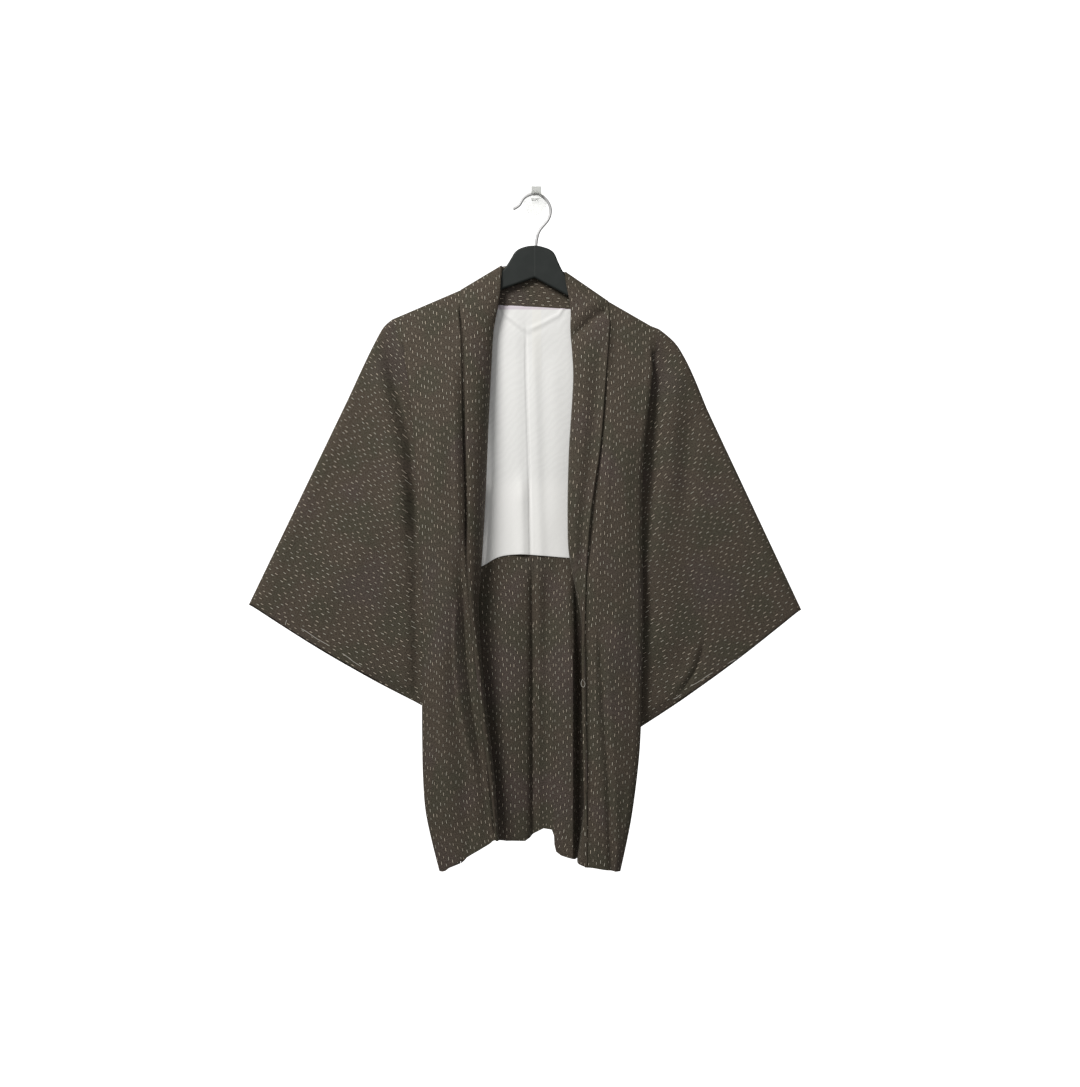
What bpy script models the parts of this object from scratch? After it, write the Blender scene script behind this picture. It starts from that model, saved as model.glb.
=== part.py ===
"""Haori jacket hung flat on a slim hanger, which hangs on a small stick-on wall hook.

Axes: +X to the viewer's right, +Z up, the wall is the plane y = 0 and the jacket hangs in front of it
at negative y.  The origin is the middle of the wall hook's back face.  Lengths in the tables are
millimetres.  "Right" and "left" in names are the wearer's, so right pieces lie at negative x.
"""
import math

import bmesh
import bpy

MM = 0.001

# ---------------------------------------------------------------- driving sizes, millimetres
CLOTH = 1.2             # crepe with its facing or turned hem, pressed together
COLLAR_CLOTH = 2.4      # collar band is folded double
LINING_CLOTH = 1.0
SEAM_GAP = 0.3          # clear space where two pieces are sewn edge to edge
COLLAR_GAP = 1.2        # between middle lines at the collar seam, so the thick band's edge clears
HANGER_Y = -15.5        # middle plane of the hanger and of its wire hook
HANGER_THICK = 11.0
WIRE_RADIUS = 2.0
OVER_ARM = 6.8          # bend radius of the cloth over the hanger's arms
COLLAR_OVER = OVER_ARM + (COLLAR_CLOTH - CLOTH) / 2
TIP_DROP = 30           # above this drop the cloth at the hanger's tip is not yet pleated
CUFF_OPEN = 0.55        # share of the cuff that is left open, from the sleeve's top fold
CUFF_STEP = 8.0         # the sleeve's front layer ends this far short of its back layer
SEAM_MARGIN = 7.0       # cloth that is left at the armhole's foot beside the side pleat
CUFF_BOW = 6.0          # the cuff's edge swells out this far from the straight line
CUFF_CLOSING = (1.0, -3.0, -5.0)    # depth changes at the cuff: front's foot, front's top, back's top
TIP_SPREAD = (3.0, 0.75)            # step between close columns at the hanger's tip, in x and z
TIP_PLACE = 0.3         # where the tip lies on the way from the ridge to the armhole's top
SWELL_END = 110.0       # drop at which the cloth's swelling over the tip has died out
SWELL_SKEW = 0.62       # moves the swelling towards the tip
NEST = 2.5              # the back's pleat ends this far inside the front's
BEND_FORWARD = 7.0      # the bend beside the collar stands at most this far in front of the panel
VALLEY_SINK = 7.0       # depth of the valley between collar seam and bend
VALLEY_WIDTHS = (9, 18) # it opens as bend and seam draw apart from the first to the second
PANEL_CROWN = 2.5       # how far the front panel bellies between bend and ridge
GUSSET_BELLY = (3.0, 6.0)           # the gusset's bulge at its top, and what the hem adds
LINING_CLEAR = 0.5      # clear space between lining and back
LINING_ROWS = 13
LINING_COLUMNS = 23
PLATE_RADIUS = 17.0
PLATE_THICK = 3.0
ARM_BOX = ((-5, -24, 2.4), (5, -2, 6.4))        # wall hook's arm, two opposite corners
LIP_BOX = ((-5, -24, 2.4), (9, -20.5, 19))      # its upturned lip
HANGER_BEVEL = 3.0

# Depth of each hanging layer at a drop below the shoulder fold.
DEPTHS = (
    # drop, front panel, front return, sleeve front, sleeve back, back return, back panel
    (OVER_ARM, -22.3, -22.3, -22.3, -8.7, -8.7, -8.7),
    (30, -29.0, -26.0, -22.8, -9.6, -7.3, -4.8),
    (60, -34.0, -29.5, -24.0, -12.2, -8.4, -4.6),
    (100, -39.0, -33.0, -25.5, -14.5, -10.0, -5.0),
    (200, -45.0, -37.0, -28.0, -17.0, -11.5, -5.0),
    (400, -47.0, -38.0, -28.0, -17.0, -12.0, -5.0),
    (800, -47.0, -38.0, -28.0, -17.0, -12.0, -5.0),
)
PANEL, FRONT_RETURN, SLEEVE_FRONT, SLEEVE_BACK, BACK_RETURN, BACK = range(6)

# Soft folds of the back below the lining: how far each upright line stands off the wall side.
BACK_FOLDS = (
    # x, forward bulge
    (-170, 0.0), (-95, 0.0), (-66, 1.0), (-48, 6.0), (-32, 9.0), (-14, 6.0), (-3, 0.0),
    (12, 4.0), (28, 14.0), (40, 19.0), (53, 19.5), (58, 6.0), (66, 0.5), (95, 0.0), (160, 0.0),
)
BACK_FOLD_START = -518.0
BACK_FOLD_FULL = -700.0
BACK_PLANE = -5.0
NECK_FORWARD = 2.3      # the back comes forward by this under the collar, over the two spans below
NECK_FADE_DOWN = (150, 230)
NECK_FADE_ASIDE = (110, 150)
PLEAT_HEM_START = 500   # drops from which back pleat and back panel take the hem's shape
BACK_HEM_START = 640

# Height of the back's hem across its width.
BACK_HEM = (
    # x, z
    (-170, -927), (-120, -915), (-50, -903), (-14, -903), (-3, -895), (10, -887), (24, -888),
    (30, -918), (53, -926), (60, -920), (75, -910), (120, -918), (160, -927),
)

# Upright lines of each front.  The front panel runs from the collar seam to the ridge, turns back
# behind itself to the crease, and above the armhole's foot goes on from there to the sleeve seam.
RIGHT = {
    "side": -1.0,
    "seam": (  # drop, x, y, z
        (0, -104, HANGER_Y, -126), (OVER_ARM, -104, -22.3, -133), (30, -106, -29, -157),
        (60, -103, -35, -187), (100, -101, -41, -227), (200, -99, -49, -327), (300, -96, -53, -424),
        (400, -96, -53, -523), (500, -88, -50, -621), (600, -78, -50, -720), (700, -65, -50, -818),
        (775, -57, -50, -897)),
    "bend": (  # drop, x, y
        (0, -114, -22), (200, -109, -50), (400, -105, -54), (500, -108, -54), (600, -97, -54),
        (700, -74, -53), (775, -62, -53)),
    "ridge": (  # drop, x, z
        (0, -195, -165), (30, -188, -199), (60, -182, -229), (100, -175, -269), (200, -167, -368),
        (300, -162, -466), (400, -156, -565), (500, -157, -663), (600, -157, -762),
        (700, -152, -859), (775, -133, -941)),
    "crease": (  # drop, x, z
        (0, -195, -165), (30, -183, -196), (60, -162, -226), (100, -141, -265), (200, -88, -363),
        (300, -92, -466), (400, -104, -565), (500, -113, -663), (600, -116, -762),
        (700, -113, -857), (775, -104, -931)),
    "inner": (  # drop, x, y, z: free edge of the collar band
        (0, -47, HANGER_Y, -92), (OVER_ARM, -48, -23.5, -104), (30, -51, -24, -138),
        (60, -59, -20, -181), (100, -62, -16, -225), (200, -67, -14, -325), (300, -71, -14, -423),
        (400, -77, -14, -524), (450, -80, -14, -572), (500, -78, -14, -623), (600, -68, -14, -723),
        (700, -57, -16, -822), (775, -52, -16, -902)),
    "neck": (  # drop, x, z: where the back's upper edge is sewn to the collar
        (0, -104, -126), (OVER_ARM, -97, -132), (13, -78, -141), (20, -51, -146.5), (30, -2, -149)),
    "back_columns": (-2, -14, -32, -48, -66, -85),
    "tip": (-215, -186),          # outside of the cloth at the hanger's tip
    "armhole_top": (-263, -279),
    "cuff_top": (-403, -570),
    "cuff_foot": (-131, -725),
}
LEFT = {
    "side": 1.0,
    "seam": (
        (0, 103, HANGER_Y, -142), (OVER_ARM, 104, -22.3, -149), (30, 105, -29, -174),
        (60, 103, -35, -204), (100, 100, -41, -244), (200, 92, -49, -344), (300, 79, -53, -441),
        (400, 72, -53, -540), (500, 70, -50, -637), (600, 71, -50, -736), (700, 73, -50, -834),
        (775, 74, -50, -935)),
    "bend": (
        (0, 113, -22), (200, 103, -50), (400, 82, -54), (500, 80, -53), (775, 84, -53)),
    "ridge": (
        (0, 169, -179), (30, 167, -210), (60, 165, -240), (100, 161, -280), (200, 151, -380),
        (300, 150, -477), (400, 151, -576), (500, 149, -674), (600, 146, -771), (700, 134, -869),
        (775, 119, -941)),
    "crease": (
        (0, 169, -179), (30, 161, -212), (60, 143, -247), (100, 127, -291), (200, 86, -400),
        (300, 87, -493), (400, 91, -591), (500, 95, -686), (600, 98, -782), (700, 98, -870),
        (775, 91, -935)),
    "inner": (
        (0, 43, HANGER_Y, -101), (OVER_ARM, 44, -23.5, -113), (30, 51, -24, -151),
        (60, 51, -21, -182), (100, 55, -17, -243), (200, 49, -15, -351), (300, 47, -15, -440),
        (400, 51, -15, -541), (450, 56, -15, -590), (500, 62, -15, -640), (600, 64, -15, -740),
        (700, 65, -16, -839), (775, 62, -16, -935)),
    "neck": (
        (0, 103, -142), (OVER_ARM, 97, -147), (13, 78, -151), (20, 51, -152), (30, -1, -149)),
    "back_columns": (-1, 12, 24, 30, 53, 60),
    "tip": (201, -210),
    "armhole_top": (242, -293),
    "cuff_top": (375, -577),
    "cuff_foot": (114, -764),
}

# Heights at which the hanging panels are cut into rows, as drops below the shoulder fold.
ARMHOLE_FOOT = 200
UPPER_DROPS = (OVER_ARM, 13, 20, TIP_DROP, 60, 80, 100, 130, 165, ARMHOLE_FOOT)
LOWER_DROPS = (230, 270, 310, 350, 400, 450, 500, 550, 600, 650, 700, 740, 775)
PLEAT_OPENING_ROWS = 4
PANEL_STEPS = 6         # columns between the bend beside the collar and the ridge
PANEL_COLUMNS = PANEL_STEPS + 2
RETURN_STEPS = 3        # columns between ridge and crease
ARM_STEPS = 5           # columns between crease and sleeve seam
FOLD_COLUMNS = 5        # columns of the ridge and crease folds together


# ---------------------------------------------------------------- shared shaping tools
def lookup(table, key):
    """Smooth values of a table's columns at a key, by cubic steps that keep the rows' slopes."""
    rows = [(row[0], row[1:]) for row in table]
    if key <= rows[0][0]:
        return rows[0][1]
    if key >= rows[-1][0]:
        return rows[-1][1]
    i = next(n for n in range(len(rows) - 1) if key <= rows[n + 1][0])
    (k0, a), (k1, b) = rows[i], rows[i + 1]
    before = rows[max(i - 1, 0)]
    after = rows[min(i + 2, len(rows) - 1)]
    t = (key - k0) / (k1 - k0)
    out = []
    for n in range(len(a)):
        slope_a = (b[n] - before[1][n]) / (k1 - before[0]) * (k1 - k0)
        slope_b = (after[1][n] - a[n]) / (after[0] - k0) * (k1 - k0)
        out.append((2 * t**3 - 3 * t**2 + 1) * a[n] + (t**3 - 2 * t**2 + t) * slope_a
                   + (3 * t**2 - 2 * t**3) * b[n] + (t**3 - t**2) * slope_b)
    return tuple(out)


def mix(a, b, t):
    return tuple(p + (q - p) * t for p, q in zip(a, b))


def ramp(x, low, high):
    t = min(max((x - low) / (high - low), 0.0), 1.0)
    return t * t * (3 - 2 * t)


def paint(obj, colour, roughness, metallic=0.0, transmission=0.0):
    mat = bpy.data.materials.new(obj.name + "_finish")
    mat.use_nodes = True
    shader = mat.node_tree.nodes["Principled BSDF"]
    shader.inputs["Base Color"].default_value = (*colour, 1.0)
    shader.inputs["Roughness"].default_value = roughness
    shader.inputs["Metallic"].default_value = metallic
    shader.inputs["Transmission Weight"].default_value = transmission
    mat.diffuse_color = (*colour, 1.0)
    obj.data.materials.append(mat)


def skin(name, rows, thickness, closed=False, closing=0):
    """Cloth wall through rows of points; a shorter row ends the strip there.

    Closed rows are loops.  With closing, the last loop is sewn shut from that point on.
    """
    mesh = bpy.data.meshes.new(name)
    bm = bmesh.new()
    grid = [[bm.verts.new([c * MM for c in p]) for p in row] for row in rows]
    for a, b in zip(grid, grid[1:]):
        count = min(len(a), len(b))
        last = count if closed else count - 1
        for j in range(last):
            bm.faces.new((a[j], a[(j + 1) % count], b[(j + 1) % count], b[j]))
    if closing:
        end = grid[-1]
        pairs = list(range(closing, len(end) // 2))
        outward = grid[-1][0].co - grid[-2][0].co
        cap = outward.normalized() * thickness * MM
        middles = [bm.verts.new((end[j].co + end[-j].co) / 2 + cap) for j in pairs]
        for j, near, far in zip(pairs, middles, middles[1:]):
            bm.faces.new((end[j], end[j + 1], far, near))
            bm.faces.new((near, far, end[-j - 1], end[-j]))
        foot = len(end) // 2
        bm.faces.new((end[foot - 1], end[foot], middles[-1]))
        bm.faces.new((middles[-1], end[foot], end[foot + 1]))
    bmesh.ops.remove_doubles(bm, verts=bm.verts, dist=0.00005)
    bmesh.ops.recalc_face_normals(bm, faces=bm.faces)
    bm.to_mesh(mesh)
    bm.free()
    obj = bpy.data.objects.new(name, mesh)
    PARTS.objects.link(obj)
    wall = obj.modifiers.new("cloth thickness", "SOLIDIFY")
    wall.thickness = thickness * MM
    wall.offset = 0.0
    wall.use_even_offset = False
    return obj


# ---------------------------------------------------------------- body panels
def fold(tip, first, second, side):
    """Three points round a hanging fold whose layers lie at depths first and second."""
    x, z = tip
    inset = abs(first - second) / 2
    return [(x - side * inset, first, z), (x, (first + second) / 2, z), (x - side * inset, second, z)]


def arm_seam(half, drop):
    """Point of the sleeve seam's line in the sleeve's plane, x and z."""
    crease = lookup(half["crease"], ARMHOLE_FOOT)
    top = half["armhole_top"]
    out = (half["armhole_top"][0] - half["crease"][0][1], half["armhole_top"][1] - half["crease"][0][2])
    length = math.hypot(*out)
    foot = (crease[0] + out[0] / length * SEAM_MARGIN, crease[1] + out[1] / length * SEAM_MARGIN)
    return mix(top, foot, drop / ARMHOLE_FOOT)


def along_sleeve(half):
    """Unit direction of the sleeve's top fold in x and z, from the shoulder to the cuff."""
    run = (half["armhole_top"][0] - half["ridge"][0][1], half["armhole_top"][1] - half["ridge"][0][2])
    length = math.hypot(*run)
    return run[0] / length, run[1] / length


def arm_columns(half, drop, depth, start):
    """Cloth from a start point to the sleeve seam, swollen over the hanger's tip near the top."""
    seam = arm_seam(half, drop)
    swell = 1.0 - ramp(drop, 0, SWELL_END)
    chord = mix(half["ridge"][0][1:], half["armhole_top"], TIP_PLACE)
    lift = (half["tip"][0] - chord[0], half["tip"][1] - chord[1])
    columns = []
    for n in range(1, ARM_STEPS + 1):
        t = n / ARM_STEPS
        x, z = mix(start, seam, t)
        bump = swell * math.sin(math.pi * t ** SWELL_SKEW)
        columns.append((x + lift[0] * bump, depth, z + lift[1] * bump))
    return columns


def tip_cluster(half, middle):
    """Close columns at the hanger's tip, where the pleat has not opened yet."""
    count = FOLD_COLUMNS + RETURN_STEPS
    run = along_sleeve(half)
    points = []
    for n in range(count):
        reach = n - (count - 1) / 2
        points.append((middle[0] + half["side"] * abs(run[0]) * reach * TIP_SPREAD[0],
                       middle[1] + run[1] * reach * TIP_SPREAD[1]))
    return points


def pleat(half, drop, panel, turned, sleeve):
    """Ridge, return, crease and sleeve-side cloth of a front or back at one drop."""
    side = half["side"]
    ridge = lookup(half["ridge"], drop)
    crease = lookup(half["crease"], drop)
    if drop <= TIP_DROP:
        cluster = tip_cluster(half, ridge)
        points = []
        for n, (x, z) in enumerate(cluster):
            points.append((x, panel + (sleeve - panel) * n / (len(cluster) - 1), z))
        return points + arm_columns(half, drop, sleeve, cluster[-1])
    if panel > turned:      # the back's pleat stays just inside the front's
        ridge = (ridge[0] - side * NEST, ridge[1])
    points = fold(ridge, panel, turned, side)
    bend = abs(turned - sleeve) / 2 * (1 - ramp(drop, ARMHOLE_FOOT, LOWER_DROPS[0]))
    start = points[-1]
    end = (crease[0] + side * bend, turned, crease[1])
    for n in range(1, RETURN_STEPS):
        points.append(mix(start, end, n / RETURN_STEPS))
    points.append(end)
    if drop <= ARMHOLE_FOOT:
        run = along_sleeve(half)
        turned_back = (crease[0] + run[0] * bend, crease[1] + run[1] * bend)
        points.append((crease[0], (turned + sleeve) / 2, crease[1]))
        points.append((turned_back[0], sleeve, turned_back[1]))
        points += arm_columns(half, drop, sleeve, turned_back)
    return points


def shoulder_row(half, inner, angle, front):
    """A row of the bend over the hanger's arm, at an angle from the top of the bend."""
    y = HANGER_Y + (-1 if front else 1) * OVER_ARM * math.sin(angle)
    down = OVER_ARM * (1 - math.cos(angle))
    top = half["ridge"][0][1:]
    cluster = tip_cluster(half, top)
    flat = [mix(inner, cluster[0], n / PANEL_COLUMNS) for n in range(PANEL_COLUMNS)] + cluster
    points = [(x, y, z - down) for x, z in flat]
    run = along_sleeve(half)
    for n, (x, _, z) in enumerate(arm_columns(half, 0, y, cluster[-1])):
        share = (n + 1) / ARM_STEPS
        points.append((x - half["side"] * abs(run[1]) * down * share, y,
                       z - down * (1 - share * (1 - abs(run[0])))))
    return points


def front_row(half, drop):
    side = half["side"]
    depth = lookup(DEPTHS, drop)
    seam = lookup(half["seam"], drop)
    bend = lookup(half["bend"], drop)
    ridge = lookup(half["ridge"], drop)
    bend = (bend[0], max(bend[1], depth[PANEL] - BEND_FORWARD), mix(seam[2:], ridge[1:], 0.1)[0])
    valley_share = ramp(abs(bend[0]) - abs(seam[0]), *VALLEY_WIDTHS)
    valley = mix(seam, bend, 0.5)
    valley = (valley[0], valley[1] + ramp(drop, 15, 60) + VALLEY_SINK * valley_share, valley[2])
    edge = (ridge[0] - side * 4.0, depth[PANEL], ridge[1])
    points = [seam, valley, bend]
    for n in range(1, PANEL_STEPS):
        t = n / PANEL_STEPS
        x, y, z = mix(bend, edge, t)
        points.append((x, y - PANEL_CROWN * ramp(drop, 60, ARMHOLE_FOOT) * math.sin(math.pi * t), z))
    return points + pleat(half, drop, depth[PANEL], depth[FRONT_RETURN], depth[SLEEVE_FRONT])


def back_depth(x, z):
    """Depth of the back panel below the neck."""
    near_neck = NECK_FORWARD * (1 - ramp(-z, *NECK_FADE_DOWN)) * (1 - ramp(abs(x), *NECK_FADE_ASIDE))
    bulge = lookup(BACK_FOLDS, x)[0] * ramp(-z, -BACK_FOLD_START, -BACK_FOLD_FULL)
    return BACK_PLANE - near_neck - bulge


def hem_lift(half, drop):
    """How far the back's side pleat ends above the front's, growing towards the hem."""
    x, z = lookup(half["ridge"], drop)
    return (lookup(BACK_HEM, x)[0] - half["ridge"][-1][2]) * ramp(drop, PLEAT_HEM_START, LOWER_DROPS[-1])


def back_row(half, drop):
    depth = lookup(DEPTHS, drop)
    neck = half["neck"]
    inner = lookup(neck, drop)
    if drop > neck[-1][0]:
        share = (drop - neck[-1][0]) / (LOWER_DROPS[-1] - neck[-1][0])
        inner = (neck[-1][1], mix((neck[-1][2],), lookup(BACK_HEM, neck[-1][1]), share)[0])
    lift = hem_lift(half, drop)
    turn = pleat(half, drop, depth[BACK], depth[BACK_RETURN], depth[SLEEVE_BACK])
    turn = [(x, y, z + lift) for x, y, z in turn]
    points = []
    edge = turn[0][0]
    fixed = half["back_columns"]
    for n in range(PANEL_COLUMNS):
        x, z = mix(inner, (edge, turn[0][2]), n / PANEL_COLUMNS)
        if drop >= neck[-1][0]:
            beyond = (n + 1 - len(fixed)) / (PANEL_COLUMNS + 1 - len(fixed))
            x = fixed[n] if n < len(fixed) else fixed[-1] + (edge - fixed[-1]) * beyond
            z = mix(inner, (0, turn[0][2]), (x - inner[0]) / (edge - inner[0]))[1]
        z += (lookup(BACK_HEM, x)[0] - z) * ramp(drop, BACK_HEM_START, LOWER_DROPS[-1])
        y = depth[BACK] if drop <= OVER_ARM else back_depth(x, z)
        points.append((x, y, z))
    return points + turn


def hanging_rows(half, make_row):
    """Rows from the shoulder to the hem, with extra ones where the pleat opens out."""
    rows = []
    for drop in UPPER_DROPS + LOWER_DROPS:
        row = make_row(half, drop)
        if rows and previous_drop == TIP_DROP:
            above = rows[-1]
            for n in range(1, PLEAT_OPENING_ROWS):
                rows.append([mix(a, b, n / PLEAT_OPENING_ROWS) for a, b in zip(above, row)])
        rows.append(row)
        previous_drop = drop
    return rows


def body(front_name, back_name, half):
    """Front and back of one body half.  They are one cloth, parted here behind the shoulder fold."""
    neck_point = half["neck"][0][1:]
    front = list(reversed(hanging_rows(half, front_row)))
    for angle, is_front in ((45, True), (0, True), (45, False)):
        front.append(shoulder_row(half, neck_point, math.radians(angle), is_front))
    back = hanging_rows(half, back_row)
    front.append(back.pop(0))
    front.append([mix(a, b, 0.5) for a, b in zip(front[-1], back[0])])
    back.insert(0, [mix(a, b, SEAM_GAP / math.dist(a, b)) for a, b in zip(front[-1], back[0])])
    return [skin(front_name, front, CLOTH), skin(back_name, back, CLOTH)]


# ---------------------------------------------------------------- gussets
def gusset(name, half):
    """Tapered strip that joins front and back at the inner end of the side pleat."""
    side = half["side"]
    rows = []
    for drop in LOWER_DROPS:
        depth = lookup(DEPTHS, drop)
        x, z = lookup(half["crease"], drop)
        x -= side * (SEAM_GAP + CLOTH / 2)
        belly = GUSSET_BELLY[0] + GUSSET_BELLY[1] * ramp(drop, LOWER_DROPS[0], LOWER_DROPS[-1])
        middle = (depth[FRONT_RETURN] + depth[BACK_RETURN]) / 2
        reach = (depth[FRONT_RETURN] - depth[BACK_RETURN]) / 2
        lift = hem_lift(half, drop)
        row = []
        for n in range(7):
            angle = math.pi * n / 6
            row.append((x - side * belly * math.sin(angle), middle + reach * math.cos(angle),
                        z + lift * n / 6))
        rows.append(row)
    return skin(name, rows, CLOTH)


# ---------------------------------------------------------------- sleeves
SLEEVE_FOOT = 3.0       # the sleeve's lower fold turns this far from its line
TOP_FORWARD = 4.0       # the sleeve's top fold comes forward by this at the cuff
SLEEVE_STEPS = (0.0, 0.12, 0.27, 0.42, 0.57, 0.72, 0.86, 1.0)
SLEEVE_DEPTHS = (0.01, 0.035, 0.09, 0.18, 0.3, 0.42, CUFF_OPEN, 0.7, 0.85, 1.0)


def sleeve_layer(half, across, down):
    """Point of the sleeve's flat outline in x and z: across to the cuff, down from the top fold."""
    top = mix(arm_seam(half, 0), half["cuff_top"], across)
    foot = mix(arm_seam(half, ARMHOLE_FOOT), half["cuff_foot"], across)
    x, z = mix(top, foot, down)
    run = along_sleeve(half)
    bow = CUFF_BOW * math.sin(math.pi * down) * ramp(across, 0, 1)
    return x + run[0] * bow, z + run[1] * bow


def sleeve_depth(down, layer, across):
    """Depth of a sleeve layer: as the body's at the seam, closing up towards the cuff's top."""
    if down == SLEEVE_DEPTHS[0]:
        depth = HANGER_Y + (-1 if layer == SLEEVE_FRONT else 1) * OVER_ARM * math.sin(math.radians(45))
    else:
        depth = lookup(DEPTHS, max(down * ARMHOLE_FOOT, OVER_ARM))[layer]
    foot, front_top, back_top = CUFF_CLOSING
    closing = foot + front_top * (1 - down) if layer == SLEEVE_FRONT else back_top * (1 - down)
    return depth + closing * ramp(across, 0, 1)


def sleeve(name, half):
    start = arm_seam(half, 0)
    end = half["cuff_top"]
    length = math.hypot(end[0] - start[0], end[1] - start[1])
    rows = []
    for step in SLEEVE_STEPS:
        across = max(step, SEAM_GAP / length)
        x, z = sleeve_layer(half, across, 0)
        row = [(x, HANGER_Y - TOP_FORWARD * ramp(across, 0, 1), z)]
        for down in SLEEVE_DEPTHS:
            short = 1 - CUFF_STEP / length * (1 - ramp(down, 0.6, 1.0))
            x, z = sleeve_layer(half, min(across, short), down)
            row.append((x, sleeve_depth(down, SLEEVE_FRONT, across), z))
        x, z = sleeve_layer(half, across, 1)
        middle = (sleeve_depth(1, SLEEVE_FRONT, across) + sleeve_depth(1, SLEEVE_BACK, across)) / 2
        row.append((x - half["side"] * SLEEVE_FOOT, middle, z))
        for down in reversed(SLEEVE_DEPTHS):
            x, z = sleeve_layer(half, across, down)
            row.append((x, sleeve_depth(down, SLEEVE_BACK, across), z))
        rows.append(row)
    first_shut = SLEEVE_DEPTHS.index(CUFF_OPEN) + 1
    return skin(name, rows, CLOTH, closed=True, closing=first_shut)


# ---------------------------------------------------------------- collar
BACK_COLLAR = (
    # x and z of the seam, x and z of the free edge, going round the back of the neck
    (-97, -132, -45.5, -92), (-78, -141, -41, -91.5), (-51, -146.5, -33, -91), (-26, -148, -18, -92),
    (0, -149, -1, -93), (26, -150.6, 16, -94.5), (51, -152, 30, -96.5), (78, -151, 37, -98.5),
    (97, -147, 41.5, -100),
)
COLLAR_STEPS = 5


def collar_side(half):
    """Rows of the band from the hem up to the top of the shoulder bend."""
    side = half["side"]
    rows = []
    for drop in reversed(UPPER_DROPS + LOWER_DROPS):
        outer = lookup(half["seam"], drop)
        inner = lookup(half["inner"], drop)
        start = outer[0] - side * COLLAR_GAP
        face = outer[1] - (COLLAR_CLOTH - CLOTH) / 2
        row = []
        for n in range(COLLAR_STEPS + 1):
            angle = math.pi / 2 * n / COLLAR_STEPS
            row.append((start + (inner[0] - start) * math.sin(angle),
                        inner[1] + (face - inner[1]) * math.cos(angle),
                        outer[2] + (inner[2] - outer[2]) * math.sin(angle)))
        rows.append(row)
    for angle in (45, 0, -45):
        outer, inner = half["seam"][0], half["inner"][0]
        turn = math.radians(angle)
        down = COLLAR_OVER * (1 - math.cos(turn))
        start = outer[1] - side * COLLAR_GAP
        row = []
        for n in range(COLLAR_STEPS + 1):
            t = math.sin(math.pi / 2 * n / COLLAR_STEPS)
            held_up = t if angle < 0 else 0.0
            row.append((start + (inner[1] - start) * t, HANGER_Y - COLLAR_OVER * math.sin(turn),
                        outer[3] + (inner[3] - outer[3]) * t - down * (1 - held_up)))
        rows.append(row)
    return rows


def collar(name):
    rows = collar_side(RIGHT)
    for x0, z0, x1, z1 in BACK_COLLAR:
        row = []
        for n in range(COLLAR_STEPS + 1):
            t = math.sin(math.pi / 2 * n / COLLAR_STEPS)
            x, z = mix((x0, z0 + COLLAR_GAP), (x1, z1), t)
            row.append((x, HANGER_Y + COLLAR_OVER, z))
        rows.append(row)
    rows += reversed(collar_side(LEFT))
    return skin(name, rows, COLLAR_CLOTH)


# ---------------------------------------------------------------- lining
LINING_TOP = (
    # x, z
    (-92, -143), (-78, -144), (-51, -146), (0, -148.4), (51, -151.4), (80, -151),
)
LINING_HEM = (
    # x, z
    (-92, -519), (-76, -516), (-52, -503), (-25, -499), (0, -500), (50, -504), (80, -505),
)


def lining(name):
    """White lining of the back, sewn in below the collar and ending above the turned-up hem."""
    first, last = LINING_TOP[0][0], LINING_TOP[-1][0]
    rows = []
    for n in range(LINING_ROWS):
        share = n / (LINING_ROWS - 1)
        row = []
        for k in range(LINING_COLUMNS):
            x = first + (last - first) * k / (LINING_COLUMNS - 1)
            z = mix(lookup(LINING_TOP, x), lookup(LINING_HEM, x), share)[0]
            row.append((x, back_depth(x, z) - CLOTH / 2 - LINING_CLEAR - LINING_CLOTH / 2, z))
        rows.append(row)
    return skin(name, rows, LINING_CLOTH)


# ---------------------------------------------------------------- hanger and hooks
HANGER_OUTLINE = (
    (1, -63.5), (12, -65.5), (22, -69.5), (27, -74), (33, -87), (39.5, -100), (46, -109.5), (75, -131),
    (103, -148.5), (121, -158.5), (145, -170), (169, -183.5), (181, -193.5), (188, -201), (187, -208),
    (179, -210), (120, -175), (49, -135.5), (-1, -108.5), (-49, -125.5), (-120, -157), (-194, -190),
    (-203, -188), (-206, -180), (-202, -173), (-195, -169), (-161, -156), (-139, -146),
    (-104, -132), (-75, -114.5), (-48, -100.5), (-41, -93), (-34, -82), (-27, -71.5), (-17, -66),
)
WIRE_PATH = (
    (-30.7, -11.4), (-21.6, -7.7), (-19.3, 0), (-13.9, 6.1), (-5.7, 9.7), (3.5, 9.8), (11.1, 6.6),
    (18.7, -0.9), (23.0, -11.4), (21, -23.6), (14.9, -32), (6.5, -40.3), (2.8, -49.4), (1.4, -63.2),
)


def solid_from_curve(name, data):
    """Mesh object from a curve's evaluated shape."""
    source = bpy.data.objects.new(name + "_curve", data)
    PARTS.objects.link(source)
    bpy.context.view_layer.update()
    mesh = bpy.data.meshes.new_from_object(source.evaluated_get(bpy.context.evaluated_depsgraph_get()))
    bpy.data.objects.remove(source)
    bm = bmesh.new()
    bm.from_mesh(mesh)
    bmesh.ops.remove_doubles(bm, verts=bm.verts, dist=0.00005)
    bmesh.ops.dissolve_limit(bm, angle_limit=math.radians(0.5), verts=bm.verts, edges=bm.edges)
    bmesh.ops.recalc_face_normals(bm, faces=bm.faces)
    bm.to_mesh(mesh)
    bm.free()
    obj = bpy.data.objects.new(name, mesh)
    PARTS.objects.link(obj)
    return obj


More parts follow.
